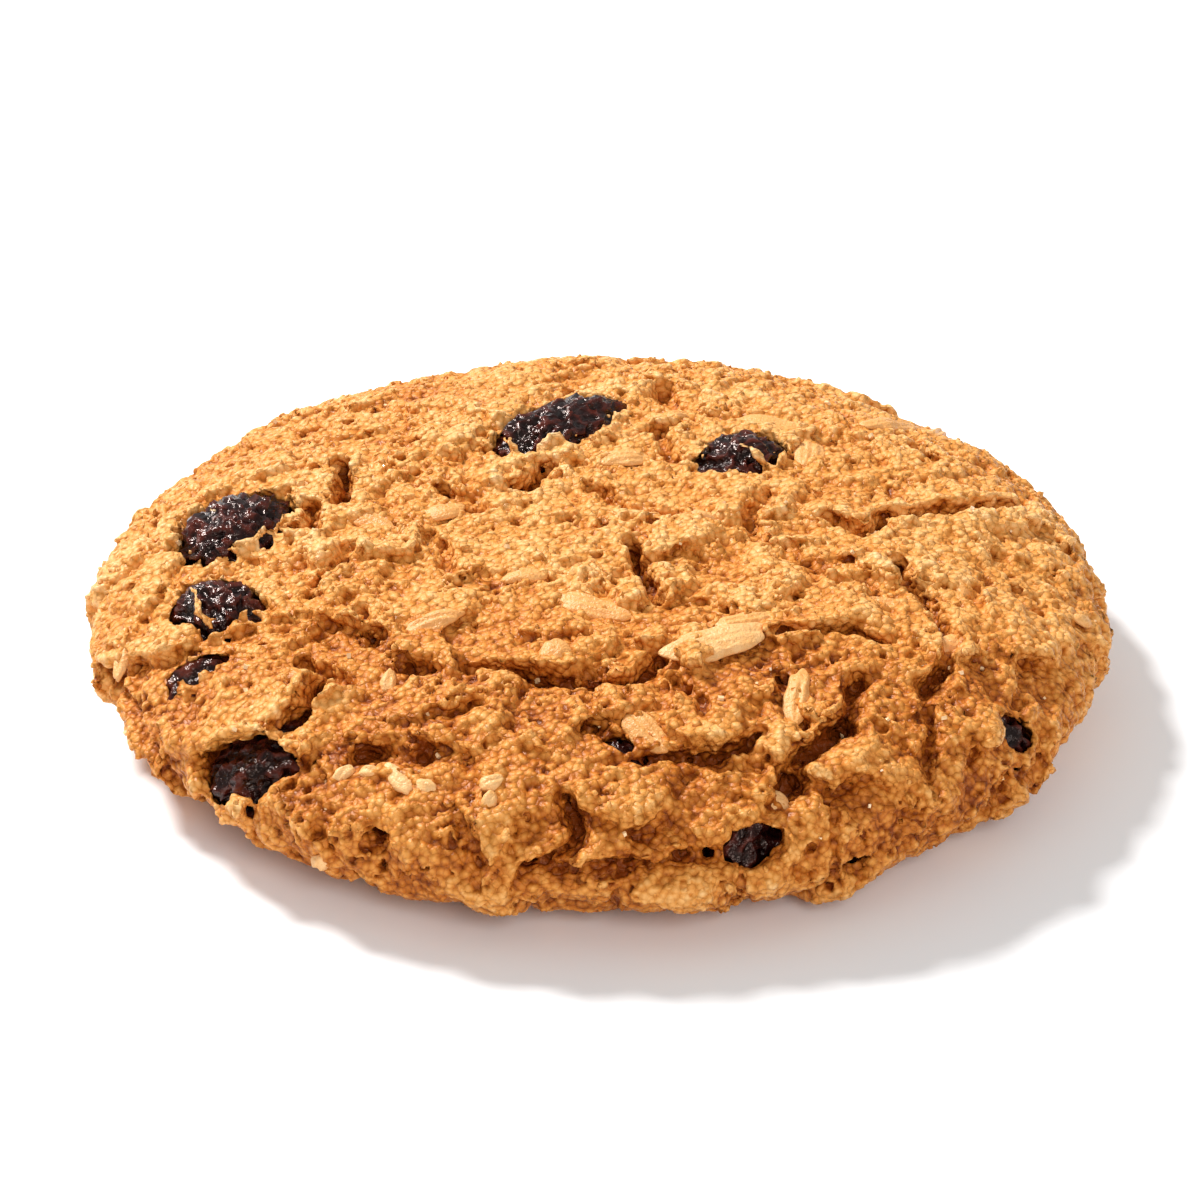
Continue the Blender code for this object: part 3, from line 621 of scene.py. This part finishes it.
def dough_surface(disc, crust):
    """Vertices and faces of the dough's skin."""
    side = np.arange(-FIELD_REACH, FIELD_REACH, VOXEL)
    spans = [side, side, np.arange(FIELD_LOW, FIELD_HIGH, VOXEL)]
    shape = tuple(len(span) for span in spans)
    grid = np.stack(np.meshgrid(*spans, indexing="ij"), axis=-1).reshape(-1, 3)
    over, u, v = disc.at(grid)
    field = over.copy()
    near = np.flatnonzero((over > -BAND_BELOW) & (over < BAND_ABOVE))
    lean = LEAN * crust_share(u[near], v[near]) * over[near]
    field[near] = over[near] - crust.look(crust.height, u[near], v[near] + lean)
    skin = near[np.abs(field[near]) < SKIN_BAND]
    height, pore = crumble(grid[skin])
    share = crust_share(u[skin], v[skin])
    field[skin] -= height * share
    field[skin] = np.maximum(field[skin], np.where(share > 0.5, pore, NO_PORE))
    for name in RAISINS:
        middle, _, _ = raisin_frame(name)
        close = np.flatnonzero(np.abs(grid - middle).max(axis=1) < RAISIN_REACH)
        field[close] = np.maximum(field[close], -raisin_distance(name, grid[close], RAISIN_CLEARANCE))
    field = np.maximum(field, -grid[:, 2]).reshape(shape)
    volume = openvdb.FloatGrid(FIELD_CLIP)
    volume.copyFromArray(np.clip(field, -FIELD_CLIP, FIELD_CLIP).astype(np.float32))
    points, quads = volume.convertToQuads(0.0)
    points = np.asarray(points, float) * VOXEL + [span[0] for span in spans]
    return points, np.asarray(quads)


# Meshes

def inside_cad_box(points):
    """Points in millimetres, kept just inside the solids' box."""
    low = np.array(CAD_LOW) / MM + BOX_MARGIN
    high = np.array(CAD_HIGH) / MM - BOX_MARGIN
    low[2] = 0.0
    return np.clip(points, low, high)


def new_mesh(name, points, faces):
    """An object of smooth faces, each of the same number of corners; points are in millimetres."""
    mesh = bpy.data.meshes.new(name)
    faces = np.asarray(faces, np.int32)
    corners = faces.shape[1]
    mesh.vertices.add(len(points))
    mesh.vertices.foreach_set("co", (inside_cad_box(points) * MM).astype(np.float32).ravel())
    mesh.loops.add(faces.size)
    mesh.loops.foreach_set("vertex_index", faces.ravel())
    mesh.polygons.add(len(faces))
    mesh.polygons.foreach_set("loop_start", np.arange(0, faces.size, corners, dtype=np.int32))
    mesh.polygons.foreach_set("loop_total", np.full(len(faces), corners, dtype=np.int32))
    mesh.polygons.foreach_set("use_smooth", np.ones(len(faces), dtype=bool))
    mesh.update(calc_edges=True)
    mesh.validate()
    obj = bpy.data.objects.new(name, mesh)
    bpy.context.scene.collection.objects.link(obj)
    return obj


def set_number(obj, name, values):
    """Stores one number at each point, for the material."""
    layer = obj.data.attributes.new(name, "FLOAT", "POINT")
    layer.data.foreach_set("value", np.asarray(values, np.float32))


def unit_ball(subdivisions):
    """Points and triangles of a ball of even triangles."""
    cage = bmesh.new()
    bmesh.ops.create_icosphere(cage, subdivisions=subdivisions, radius=1.0)
    points = np.array([vert.co[:] for vert in cage.verts])
    faces = np.array([[vert.index for vert in face.verts] for face in cage.faces])
    cage.free()
    return points / np.linalg.norm(points, axis=1)[:, None], faces


def random_turns(random, number):
    """That many random rotations, as 3 x 3 tables."""
    q = random.normal(size=(number, 4))
    q /= np.linalg.norm(q, axis=1)[:, None]
    w, x, y, z = q.T
    return np.stack([
        1 - 2 * (y * y + z * z), 2 * (x * y - z * w), 2 * (x * z + y * w),
        2 * (x * y + z * w), 1 - 2 * (x * x + z * z), 2 * (y * z - x * w),
        2 * (x * z - y * w), 2 * (y * z + x * w), 1 - 2 * (x * x + y * y),
    ], axis=1).reshape(-1, 3, 3)


def point_normals(points, quads):
    """Outward direction at each point, averaged over its quads."""
    across = np.cross(points[quads[:, 2]] - points[quads[:, 0]], points[quads[:, 3]] - points[quads[:, 1]])
    total = [np.bincount(quads.ravel(), np.repeat(across[:, axis], 4), len(points)) for axis in range(3)]
    total = np.stack(total, axis=1)
    return total / (np.linalg.norm(total, axis=1) + 1e-12)[:, None]


def split_in_four(points, normals, quads):
    """Each quad made four, with new points at its middle and at the middles of its edges."""
    corners = np.stack([quads, np.roll(quads, -1, axis=1)], axis=2)
    low, high = corners.min(axis=2).ravel(), corners.max(axis=2).ravel()
    keys, which = np.unique(low * len(points) + high, return_inverse=True)
    ends = np.stack([keys // len(points), keys % len(points)], axis=1)
    middles = len(points) + which.reshape(-1, 4)
    centres = len(points) + len(ends) + np.arange(len(quads))
    before = np.roll(middles, 1, axis=1)
    points, normals = (
        np.concatenate([values, values[ends].mean(axis=1), values[quads].mean(axis=1)])
        for values in (points, normals)
    )
    finer = [np.stack([quads[:, i], middles[:, i], centres, before[:, i]], axis=1) for i in range(4)]
    return points, normals, np.concatenate(finer)


def depth_and_shade(crust, over, u, v):
    """How far a place lies above the crust's level, for darker low places, less the front's darkening; both
    partly browner dough and partly painted shade.
    """
    return over - crust.look(crust.level, u, v) - FRONT_BAKE_AND_SHADE * smooth_step(FRONT_SHADE_FROM, FRONT_SHADE_TO, v)


def make_dough(disc, crust):
    """The dough's skin in a few pieces, with numbers for the material stored at its points."""
    points, quads = dough_surface(disc, crust)
    quads = quads.astype(np.int64)
    a, b, c = (points[quads[:, corner]] for corner in range(3))
    if np.einsum("ij,ij->i", a, np.cross(b, c)).sum() < 0:
        quads = quads[:, ::-1]
    normals = point_normals(points, quads)
    upper = points[quads, 2].max(axis=1) > FINE_FROM
    base = quads[~upper]
    points, normals, finer = split_in_four(points, normals, quads[upper])
    height = granulate(points)
    over, u, v = disc.at(points)
    height *= smooth_step(FINE_FROM, FINE_FROM + FINE_FADE, points[:, 2]) * (0.4 + 0.6 * crust_share(u, v))
    points = points + normals * height[:, None]
    # depth for the material: darker low places and a darker front, partly the dough's own colour and partly
    # painted shade
    depth = depth_and_shade(crust, over + height, u, v)
    middle = points[finer].mean(axis=1)
    around = np.arctan2(middle[:, 1], middle[:, 0]) / (2 * math.pi) + 0.5
    sector = np.floor(around * DOUGH_PIECES).astype(int)
    made = []
    for piece in range(DOUGH_PIECES + 1):
        faces = base if piece == DOUGH_PIECES else finer[sector % DOUGH_PIECES == piece]
        used, faces = np.unique(faces, return_inverse=True)
        name = "dough_base" if piece == DOUGH_PIECES else f"dough_crust_{piece + 1}"
        dough = new_mesh(name, points[used], faces.reshape(-1, 4))
        set_number(dough, "depth", depth[used])
        # grain height, for painted shade in the gaps between grains and a painted lighter tone on their tops
        set_number(dough, "grain", height[used])
        made.append(dough)
    return made, points, np.concatenate([base, finer])


def surface_places(points, quads, number, random):
    """Random points of the surface, evenly by area, with the outward normals."""
    triangles = np.concatenate([quads[:, (0, 1, 2)], quads[:, (0, 2, 3)]])
    a, b, c = (points[triangles[:, i]] for i in range(3))
    cross = np.cross(b - a, c - a)
    area = np.linalg.norm(cross, axis=1)
    chosen = random.choice(len(triangles), number, p=area / area.sum())
    s, t = random.random(number), random.random(number)
    fold = s + t > 1.0
    s, t = np.where(fold, 1.0 - s, s), np.where(fold, 1.0 - t, t)
    places = a[chosen] + s[:, None] * (b - a)[chosen] + t[:, None] * (c - a)[chosen]
    return places, cross[chosen] / area[chosen][:, None]


def clear_of_toppings(places, radii, oat_places, random):
    """Whether a crumb at each place would stay off the raisins and off most of the oats."""
    clear = places[:, 2] > 0.4 + radii * 0.5
    for name in RAISINS:
        middle, _, _ = raisin_frame(name)
        close = np.flatnonzero(np.abs(places - middle).max(axis=1) < RAISIN_REACH)
        clear[close[raisin_distance(name, places[close], 0.2) < radii[close] * 0.6]] = False
    for middle, axes, half in oat_places:
        close = np.flatnonzero(np.abs(places - middle).max(axis=1) < 6.0)
        local = (places[close] - middle) @ axes.T / half
        under = (np.hypot(local[:, 0], local[:, 1]) < 0.85) & (np.abs(local[:, 2]) < 3.0)
        clear[close[under & (random.random(len(close)) < 1.0 - ON_OAT)]] = False
    return clear


def copies(name, cage, faces, turns, sizes, dents, middles):
    """One mesh of many copies of a cage, each turned, sized, dented and placed."""
    shape = cage[None] * sizes * dents
    points = np.einsum("nij,nkj->nki", turns, shape) + middles[:, None]
    all_faces = (faces[None] + np.arange(len(middles))[:, None, None] * len(cage)).reshape(-1, faces.shape[1])
    return new_mesh(name, points.reshape(-1, 3), all_faces)


def make_crumbs(disc, crust, dough_points, dough_quads, oat_places):
    """Loose crumbs, half sunk among the grains."""
    random = np.random.default_rng(72)
    number, low, high = CRUMBS
    places, _ = surface_places(dough_points, dough_quads, number * 2, random)
    radii = low + (high - low) * random.random(len(places)) ** 2
    clear = np.flatnonzero(clear_of_toppings(places, radii, oat_places, random))[:number]
    places, radii = places[clear], radii[clear]
    over, u, v = disc.at(places)
    cage, faces = unit_ball(1)
    count = len(places)
    sizes = radii[:, None, None] * random.uniform(0.7, 1.3, (count, 1, 3))
    dents = random.uniform(0.7, 1.15, (count, len(cage), 1))
    crumbs = copies("crumbs", cage, faces, random_turns(random, count), sizes, dents, places)
    # the crumbs take the dough's painted shade at low places and at the front
    set_number(crumbs, "depth", np.repeat(depth_and_shade(crust, over, u, v), len(cage)))
    set_number(crumbs, "grain", np.full(count * len(cage), CRUMB_GRAIN))
    return crumbs


def oat_shape(length, width, seed):
    """One rolled oat: a thin oval with a groove along it, fine ridges and an uneven rim."""
    ball, faces = unit_ball(4 if length > LARGE_OAT else 3)
    reach = np.hypot(ball[:, 0], ball[:, 1])
    turn = np.arctan2(ball[:, 1], ball[:, 0])
    random = np.random.default_rng(seed)
    rim = 1.0
    for lobes in (2, 3, 5, 8):
        rim = rim + random.uniform(0.05, 0.13) / lobes**0.4 * np.sin(lobes * turn + random.uniform(0, 6.3))
    x = ball[:, 0] * length / 2 * rim
    y = ball[:, 1] * width / 2 * rim
    flat = np.sign(ball[:, 2]) * np.abs(ball[:, 2]) ** 0.7 * OAT_THICKNESS / 2
    bend = -OAT_CUP * reach**2 + random.uniform(-0.12, 0.12) * x + random.uniform(-0.1, 0.1) * y
    bend += 0.08 * np.sin(x * 1.3 + random.uniform(0, 6.3))
    groove = -OAT_GROOVE * np.exp(-((y / OAT_GROOVE_WIDTH) ** 2)) * (1.0 - reach**2)
    across = y * 2 * math.pi / OAT_RIB_SPACING + 0.9 * np.sin(x * 0.9 + seed)
    ribs = OAT_RIB * np.sin(across) * (1.0 - reach**4)
    z = flat + bend + np.where(ball[:, 2] > 0, groove + ribs, 0.0)
    return np.stack([x, y, z], axis=1), faces


def scattered_oats(random):
    """Small whole and broken flakes where the photographed side has none."""
    flakes = []
    while len(flakes) < SCATTERED_OATS:
        way = random.uniform(0.0, 2.0 * math.pi)
        walked = WALKED[-1] * SCATTERED_REACH * math.sqrt(random.uniform(0.02, 1.0))
        place = (walked * math.cos(way), walked * math.sin(way))
        length = random.uniform(*SCATTERED_LENGTH)
        width = length * random.uniform(*SCATTERED_SHAPE)
        turn, proud, pale = random.uniform(0.0, 180.0), random.uniform(0.0, 0.2), random.uniform(0.2, 0.6)
        others = [other[0] for other in (*OATS, *flakes)] + [window[0] for window in WINDOWS]
        if min(math.dist(place, other) for other in others) > OAT_APART:
            flakes.append((place, length, width, turn, proud, pale))
    return flakes


def make_oats(crust):
    """All the rolled oats as one piece."""
    random = np.random.default_rng(81)
    points, faces, tones, places = [], [], [], []
    start = 0
    for seed, (place, length, width, turn, proud, pale) in enumerate([*OATS, *scattered_oats(random)]):
        ring = np.linspace(0.0, 2.0 * math.pi, 9)[:-1]
        ring_u = np.append(place[0] + 0.3 * length * np.cos(ring), place[0])
        ring_v = np.append(place[1] + 0.3 * length * np.sin(ring), place[1])
        rest = float(np.mean(crust.look(crust.height, ring_u, ring_v)))
        middle, axes = crust_frame(place, turn, rest + proud - OAT_THICKNESS / 2)
        shape, cage = oat_shape(length, width, seed)
        points.append(shape @ axes + middle)
        faces.append(cage + start)
        tones.append(np.full(len(shape), pale))
        places.append((middle, axes, np.array([length, width, 1.0]) / 2))
        start += len(shape)
    oats = new_mesh("oat_flakes", np.concatenate(points), np.concatenate(faces))
    set_number(oats, "tone", np.concatenate(tones))
    return oats, places


def make_sugar(dough_points, dough_quads):
    """Grains of coarse sugar: small uneven blocks."""
    random = np.random.default_rng(91)
    most, low, high = SUGAR
    places, normals = surface_places(dough_points, dough_quads, SUGAR_TRIES, random)
    fit = np.flatnonzero((places[:, 2] > SUGAR_FROM) & (normals[:, 2] > -0.2))[:most]
    cage = np.array(list(itertools.product((-1.0, 1.0), repeat=3)))
    faces = np.array([[0, 1, 3, 2], [4, 6, 7, 5], [0, 4, 5, 1], [2, 3, 7, 6], [0, 2, 6, 4], [1, 5, 7, 3]])
    number = len(fit)
    sizes = random.uniform(low, high, (number, 1, 1)) * random.uniform(0.7, 1.2, (number, 1, 3))
    dents = random.uniform(0.75, 1.1, (number, len(cage), 1))
    middles = places[fit] + SUGAR_PROUD * normals[fit]
    sugar = copies("sugar_grains", cage, faces, random_turns(random, number), sizes, dents, middles)
    sugar.data.polygons.foreach_set("use_smooth", np.zeros(len(sugar.data.polygons), dtype=bool))
    return sugar


def ridges(points, size, seed):
    """1 along narrow winding ridges, and 0 between them."""
    return (1.0 - np.minimum(np.abs(waves(points, size, seed)) * 2.2, 1.0)) ** 1.5


def make_raisin(name, seed):
    """One raisin: the solid's plump bent oval, with sharper folds and fine wrinkles."""
    middle, axes, half = raisin_frame(name)
    ways, faces = unit_ball(5 if name in WELL_SHOWN else 4)
    at = ways * half + seed * 7.3
    folds = np.abs(waves(at, RAISIN_FOLD_SIZE, 41))
    swell = waves(ways * 3.0 + seed * 3.1, 2.0, 42)
    at = at + RAISIN_WARP * drift(at, RAISIN_WARP_SIZE, 43)
    long_folds = ridges(at * (0.55, 1.0, 1.0), LONG_FOLD_SIZE, 46)
    fine_folds = ridges(at * (0.7, 1.0, 1.0), FINE_FOLD_SIZE, 47)
    height = RAISIN_FOLD * (folds * 2.0 - 0.8) + RAISIN_SWELL * swell
    height += LONG_FOLD * (long_folds - 0.4) + FINE_FOLD * (fine_folds - 0.4)
    points = ways * half * (1.0 + height / half[2])[:, None]
    points[:, 1] += RAISIN_BEND * (np.cos(ways[:, 0] * math.pi * 0.5) - 0.5)
    raisin = new_mesh(name + "_skin", points @ axes + middle, faces)
    set_number(raisin, "fold", long_folds * 0.5 + fine_folds * 0.5)
    return raisin


# Materials

# Crumb: how pale it is on the whole, and how much the rest adds; the creases, grain gaps, low places and
# front get darker, partly the dough's own colour and partly painted shade
CRUMB_PALENESS = 0.525
TOAST_SIZE, TOAST = 8.0, 0.40
# painted shade in the creases between grains, partly the dough's browner colour there
CREASE_SHADE, CREASE_SHADE_FROM = 0.35, 0.38
# grain tone differs at random; grain height gives painted shade in the gaps between grains and a painted
# lighter tone on their tops, partly the dough's own colour
GRAIN_TONE, GRAIN_HEIGHT_LIGHT_AND_SHADE = 0.16, 0.5
# darker where the crust lies low, in cracks and pits: partly browner dough, partly painted shade
DEPTH_SHADE_AND_TONE = 0.165

# Relief in the material: size and height
GRANULE, GRANULE_HEIGHT = 0.6, 0.38
RAISIN_WRINKLE, RAISIN_WRINKLE_HEIGHT = 0.95, 0.4


class Finish:
    """One material, built out of nodes."""

    def __init__(self, name):
        self.material = bpy.data.materials.new(name)
        self.material.use_nodes = True
        self.tree = self.material.node_tree
        self.shader = self.tree.nodes["Principled BSDF"]

    def node(self, kind, **inputs):
        made = self.tree.nodes.new(kind)
        for label, value in inputs.items():
            self.put(made, label.replace("_", " "), value)
        return made

    def put(self, node, place, value):
        """Sets an input by its label or number, or links it where the value is a socket."""
        socket = node.inputs[place]
        if isinstance(value, bpy.types.NodeSocket):
            self.tree.links.new(value, socket)
        else:
            socket.default_value = value

    def number(self, name):
        """The number that set_number stored under that name."""
        made = self.tree.nodes.new("ShaderNodeAttribute")
        made.attribute_name = name
        return made.outputs["Fac"]

    def ramp(self, value, *stops):
        made = self.tree.nodes.new("ShaderNodeValToRGB")
        points = made.color_ramp.elements
        while len(points) < len(stops):
            points.new(0.5)
        for point, (place, colour) in zip(points, stops):
            point.position = place
            point.color = (*colour, 1.0)
        self.put(made, "Fac", value)
        return made.outputs["Color"]

    def math(self, first, second, how):
        made = self.tree.nodes.new("ShaderNodeMath")
        made.operation = how
        self.put(made, 0, first)
        self.put(made, 1, second)
        return made.outputs["Value"]

    def add(self, first, second):
        return self.math(first, second, "ADD")

    def times(self, first, second):
        return self.math(first, second, "MULTIPLY")

    def texture(self, kind, size, **inputs):
        """A texture in the object's own space, with its size in millimetres."""
        place = self.tree.nodes.new("ShaderNodeTexCoord")
        return self.node(kind, Vector=place.outputs["Object"], Scale=1.0 / (size * MM), **inputs)

    def noise(self, size, detail=2.0):
        return self.texture("ShaderNodeTexNoise", size, Detail=detail).outputs["Fac"]

    def grains(self, size):
        """How far a place lies from the middle of its grain, and a random number for the grain."""
        made = self.texture("ShaderNodeTexVoronoi", size)
        return made.outputs["Distance"], made.outputs["Color"]

    def bump(self, height, distance):
        return self.node("ShaderNodeBump", Height=height, Distance=distance * MM).outputs["Normal"]

    def surface(self, **inputs):
        """The finished material, with these inputs of its shader set."""
        for label, value in inputs.items():
            self.put(self.shader, label.replace("_", " "), value)
        return self.material


def crumb_finish():
    """Baked dough: golden on the grains, browner in the creases, where it lies deep, and to the front, partly
    its own colour and partly painted shade; the grain tops are partly painted lighter.
    """
    finish = Finish("crumb")
    toast = finish.times(finish.add(finish.noise(TOAST_SIZE), -0.5), TOAST)
    away, mark = finish.grains(GRANULE)
    # painted shade darkens the creases between grains, partly the dough's own browner colour
    crease_shade = finish.times(finish.math(away, CREASE_SHADE_FROM, "SUBTRACT"), -CREASE_SHADE)
    mark = finish.times(finish.add(mark, -0.5), GRAIN_TONE)
    # painted light and shade: grain tops paler, the gaps between them darker, partly the dough's own colour
    standing_light_and_shade = finish.times(finish.number("grain"), GRAIN_HEIGHT_LIGHT_AND_SHADE)
    grains = finish.add(finish.add(crease_shade, mark), standing_light_and_shade)
    # low places and the front darker: partly browner dough, partly painted shade
    depth = finish.add(finish.times(finish.number("depth"), DEPTH_SHADE_AND_TONE), CRUMB_PALENESS)
    value = finish.add(finish.add(toast, grains), depth)
    colour = finish.ramp(
        value,
        (0.0, (0.22, 0.040, 0.003)),
        (0.20, (0.50, 0.140, 0.014)),
        (0.40, (0.71, 0.278, 0.052)),
        (0.60, (0.82, 0.412, 0.128)),
        (0.80, (0.88, 0.54, 0.240)),
        (1.0, (0.93, 0.69, 0.42)),
    )
    dome = finish.times(finish.math(away, 2.0, "POWER"), -1.0)
    height = finish.add(finish.times(finish.noise(0.2), 0.22), dome)
    granules = finish.bump(height, GRANULE_HEIGHT)
    return finish.surface(
        Base_Color=colour, Roughness=0.42, Normal=granules, Specular_IOR_Level=0.24,
        Specular_Tint=(1.0, 0.86, 0.70, 1.0),
    )


def oat_finish():
    """Rolled oats, from the tone of the dough to pale, with a fine grain."""
    finish = Finish("oat_flake")
    value = finish.add(finish.number("tone"), finish.add(finish.noise(0.8, 3.0), -0.5))
    colour = finish.ramp(
        value, (0.0, (0.68, 0.27, 0.060)), (0.5, (0.78, 0.37, 0.105)), (1.0, (0.86, 0.50, 0.205)),
    )
    grain = finish.bump(finish.noise(0.3, 3.0), 0.18)
    return finish.surface(Base_Color=colour, Roughness=0.42, Normal=grain, Specular_IOR_Level=0.4)


def sugar_finish():
    """Coarse sugar, as amber as the dough under it."""
    finish = Finish("sugar")
    return finish.surface(Base_Color=(0.86, 0.58, 0.30, 1.0), Roughness=0.15, Specular_IOR_Level=0.7)


def raisin_finish():
    """Near black skin, redder on the folds and darker between them, partly its own colour and partly painted
    light through the thin folds and painted shade between them, with a fine wrinkle and a broken shine.
    """
    finish = Finish("raisin")
    away, _ = finish.grains(RAISIN_WRINKLE)
    # redder folds and darker valleys: partly the skin's own colour, partly painted light through the folds
    # and painted shade between them
    ridge_light_and_tone = finish.add(finish.number("fold"), finish.add(away, -0.4))
    value = finish.add(ridge_light_and_tone, finish.add(finish.noise(1.6), -0.5))
    colour = finish.ramp(
        value, (0.1, (0.004, 0.001, 0.001)), (0.5, (0.018, 0.003, 0.0025)), (0.9, (0.080, 0.013, 0.007)),
    )
    folds = finish.add(away, finish.times(finish.noise(0.35), 0.35))
    wrinkle = finish.bump(folds, RAISIN_WRINKLE_HEIGHT)
    rough = finish.ramp(finish.noise(1.2), (0.35, (0.12,) * 3), (0.7, (0.26,) * 3))
    return finish.surface(
        Base_Color=colour, Roughness=rough, Normal=wrinkle, Specular_IOR_Level=0.34,
        Specular_Tint=(1.0, 0.74, 0.64, 1.0),
    )


# Floor, light and camera

FLOOR_HALF = 1.2
WORLD_STRENGTH = 0.45

# Lights: place and width in metres, and power in watts
LIGHTS = {
    "key": ((-0.55, 0.55, 0.75), 0.26, 17.5),
    "fill": ((0.25, -0.8, 0.6), 0.5, 4.2),
}

# Camera, in degrees, metres and millimetres
ELEVATION = 29.0
DISTANCE = 0.330
TARGET = Vector((0.0, 0.0, 0.007))
LENS = 115.0
SENSOR_WIDTH = 36.0
CLIP_START = 0.01
PHOTO_SIDE = 1200
SHIFT = (-0.5 / PHOTO_SIDE, 5.0 / PHOTO_SIDE)


def make_stage():
    """A white floor and an even white sky."""
    mesh = bpy.data.meshes.new("floor")
    ways = ((-1, -1), (1, -1), (1, 1), (-1, 1))
    mesh.from_pydata([(x * FLOOR_HALF, y * FLOOR_HALF, 0) for x, y in ways], [], [(0, 1, 2, 3)])
    floor = bpy.data.objects.new("floor", mesh)
    bpy.context.scene.collection.objects.link(floor)
    finish = Finish("floor")
    mesh.materials.append(finish.surface(Base_Color=(0.96, 0.96, 0.96, 1.0), Roughness=0.9))
    floor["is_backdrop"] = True
    world = bpy.data.worlds.new("studio")
    bpy.context.scene.world = world
    world.use_nodes = True
    background = world.node_tree.nodes["Background"]
    background.inputs["Color"].default_value = (1.0, 1.0, 1.0, 1.0)
    background.inputs["Strength"].default_value = WORLD_STRENGTH


def make_light(name, place, size, power):
    """A round lamp that looks at the cookie."""
    light = bpy.data.lights.new(name, "AREA")
    light.shape = "DISK"
    light.size = size
    light.energy = power
    lamp = bpy.data.objects.new(name, light)
    lamp.location = place
    lamp.rotation_euler = (-Vector(place)).to_track_quat("-Z", "Y").to_euler()
    bpy.context.scene.collection.objects.link(lamp)


def make_camera():
    """The camera of the photo."""
    data = bpy.data.cameras.new("camera")
    data.lens = LENS
    data.sensor_width = SENSOR_WIDTH
    data.shift_x, data.shift_y = SHIFT
    data.clip_start = CLIP_START
    camera = bpy.data.objects.new("camera", data)
    slope = math.radians(ELEVATION)
    camera.location = TARGET + DISTANCE * Vector((0.0, -math.cos(slope), math.sin(slope)))
    camera.rotation_euler = (TARGET - camera.location).to_track_quat("-Z", "Y").to_euler()
    bpy.context.scene.collection.objects.link(camera)
    bpy.context.scene.camera = camera


def dress(obj, material):
    """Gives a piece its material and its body."""
    obj.data.materials.clear()
    obj.data.materials.append(material)
    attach(obj, "root")


def main():
    disc = DiscTable()
    crust = CrustMap()
    crumb = crumb_finish()
    pieces, dough_points, dough_quads = make_dough(disc, crust)
    for piece in pieces:
        dress(piece, crumb)
        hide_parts("dough")
    oats, oat_places = make_oats(crust)
    dress(oats, oat_finish())
    dress(make_crumbs(disc, crust, dough_points, dough_quads, oat_places), crumb)
    dress(make_sugar(dough_points, dough_quads), sugar_finish())
    raisin = raisin_finish()
    for seed, name in enumerate(RAISINS):
        skin = make_raisin(name, seed)
        dress(skin, raisin)
        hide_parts(name)
    make_stage()
    for name, (place, size, power) in LIGHTS.items():
        make_light(name, place, size, power)
    make_camera()
    bpy.context.scene.view_settings.view_transform = "Standard"


main()
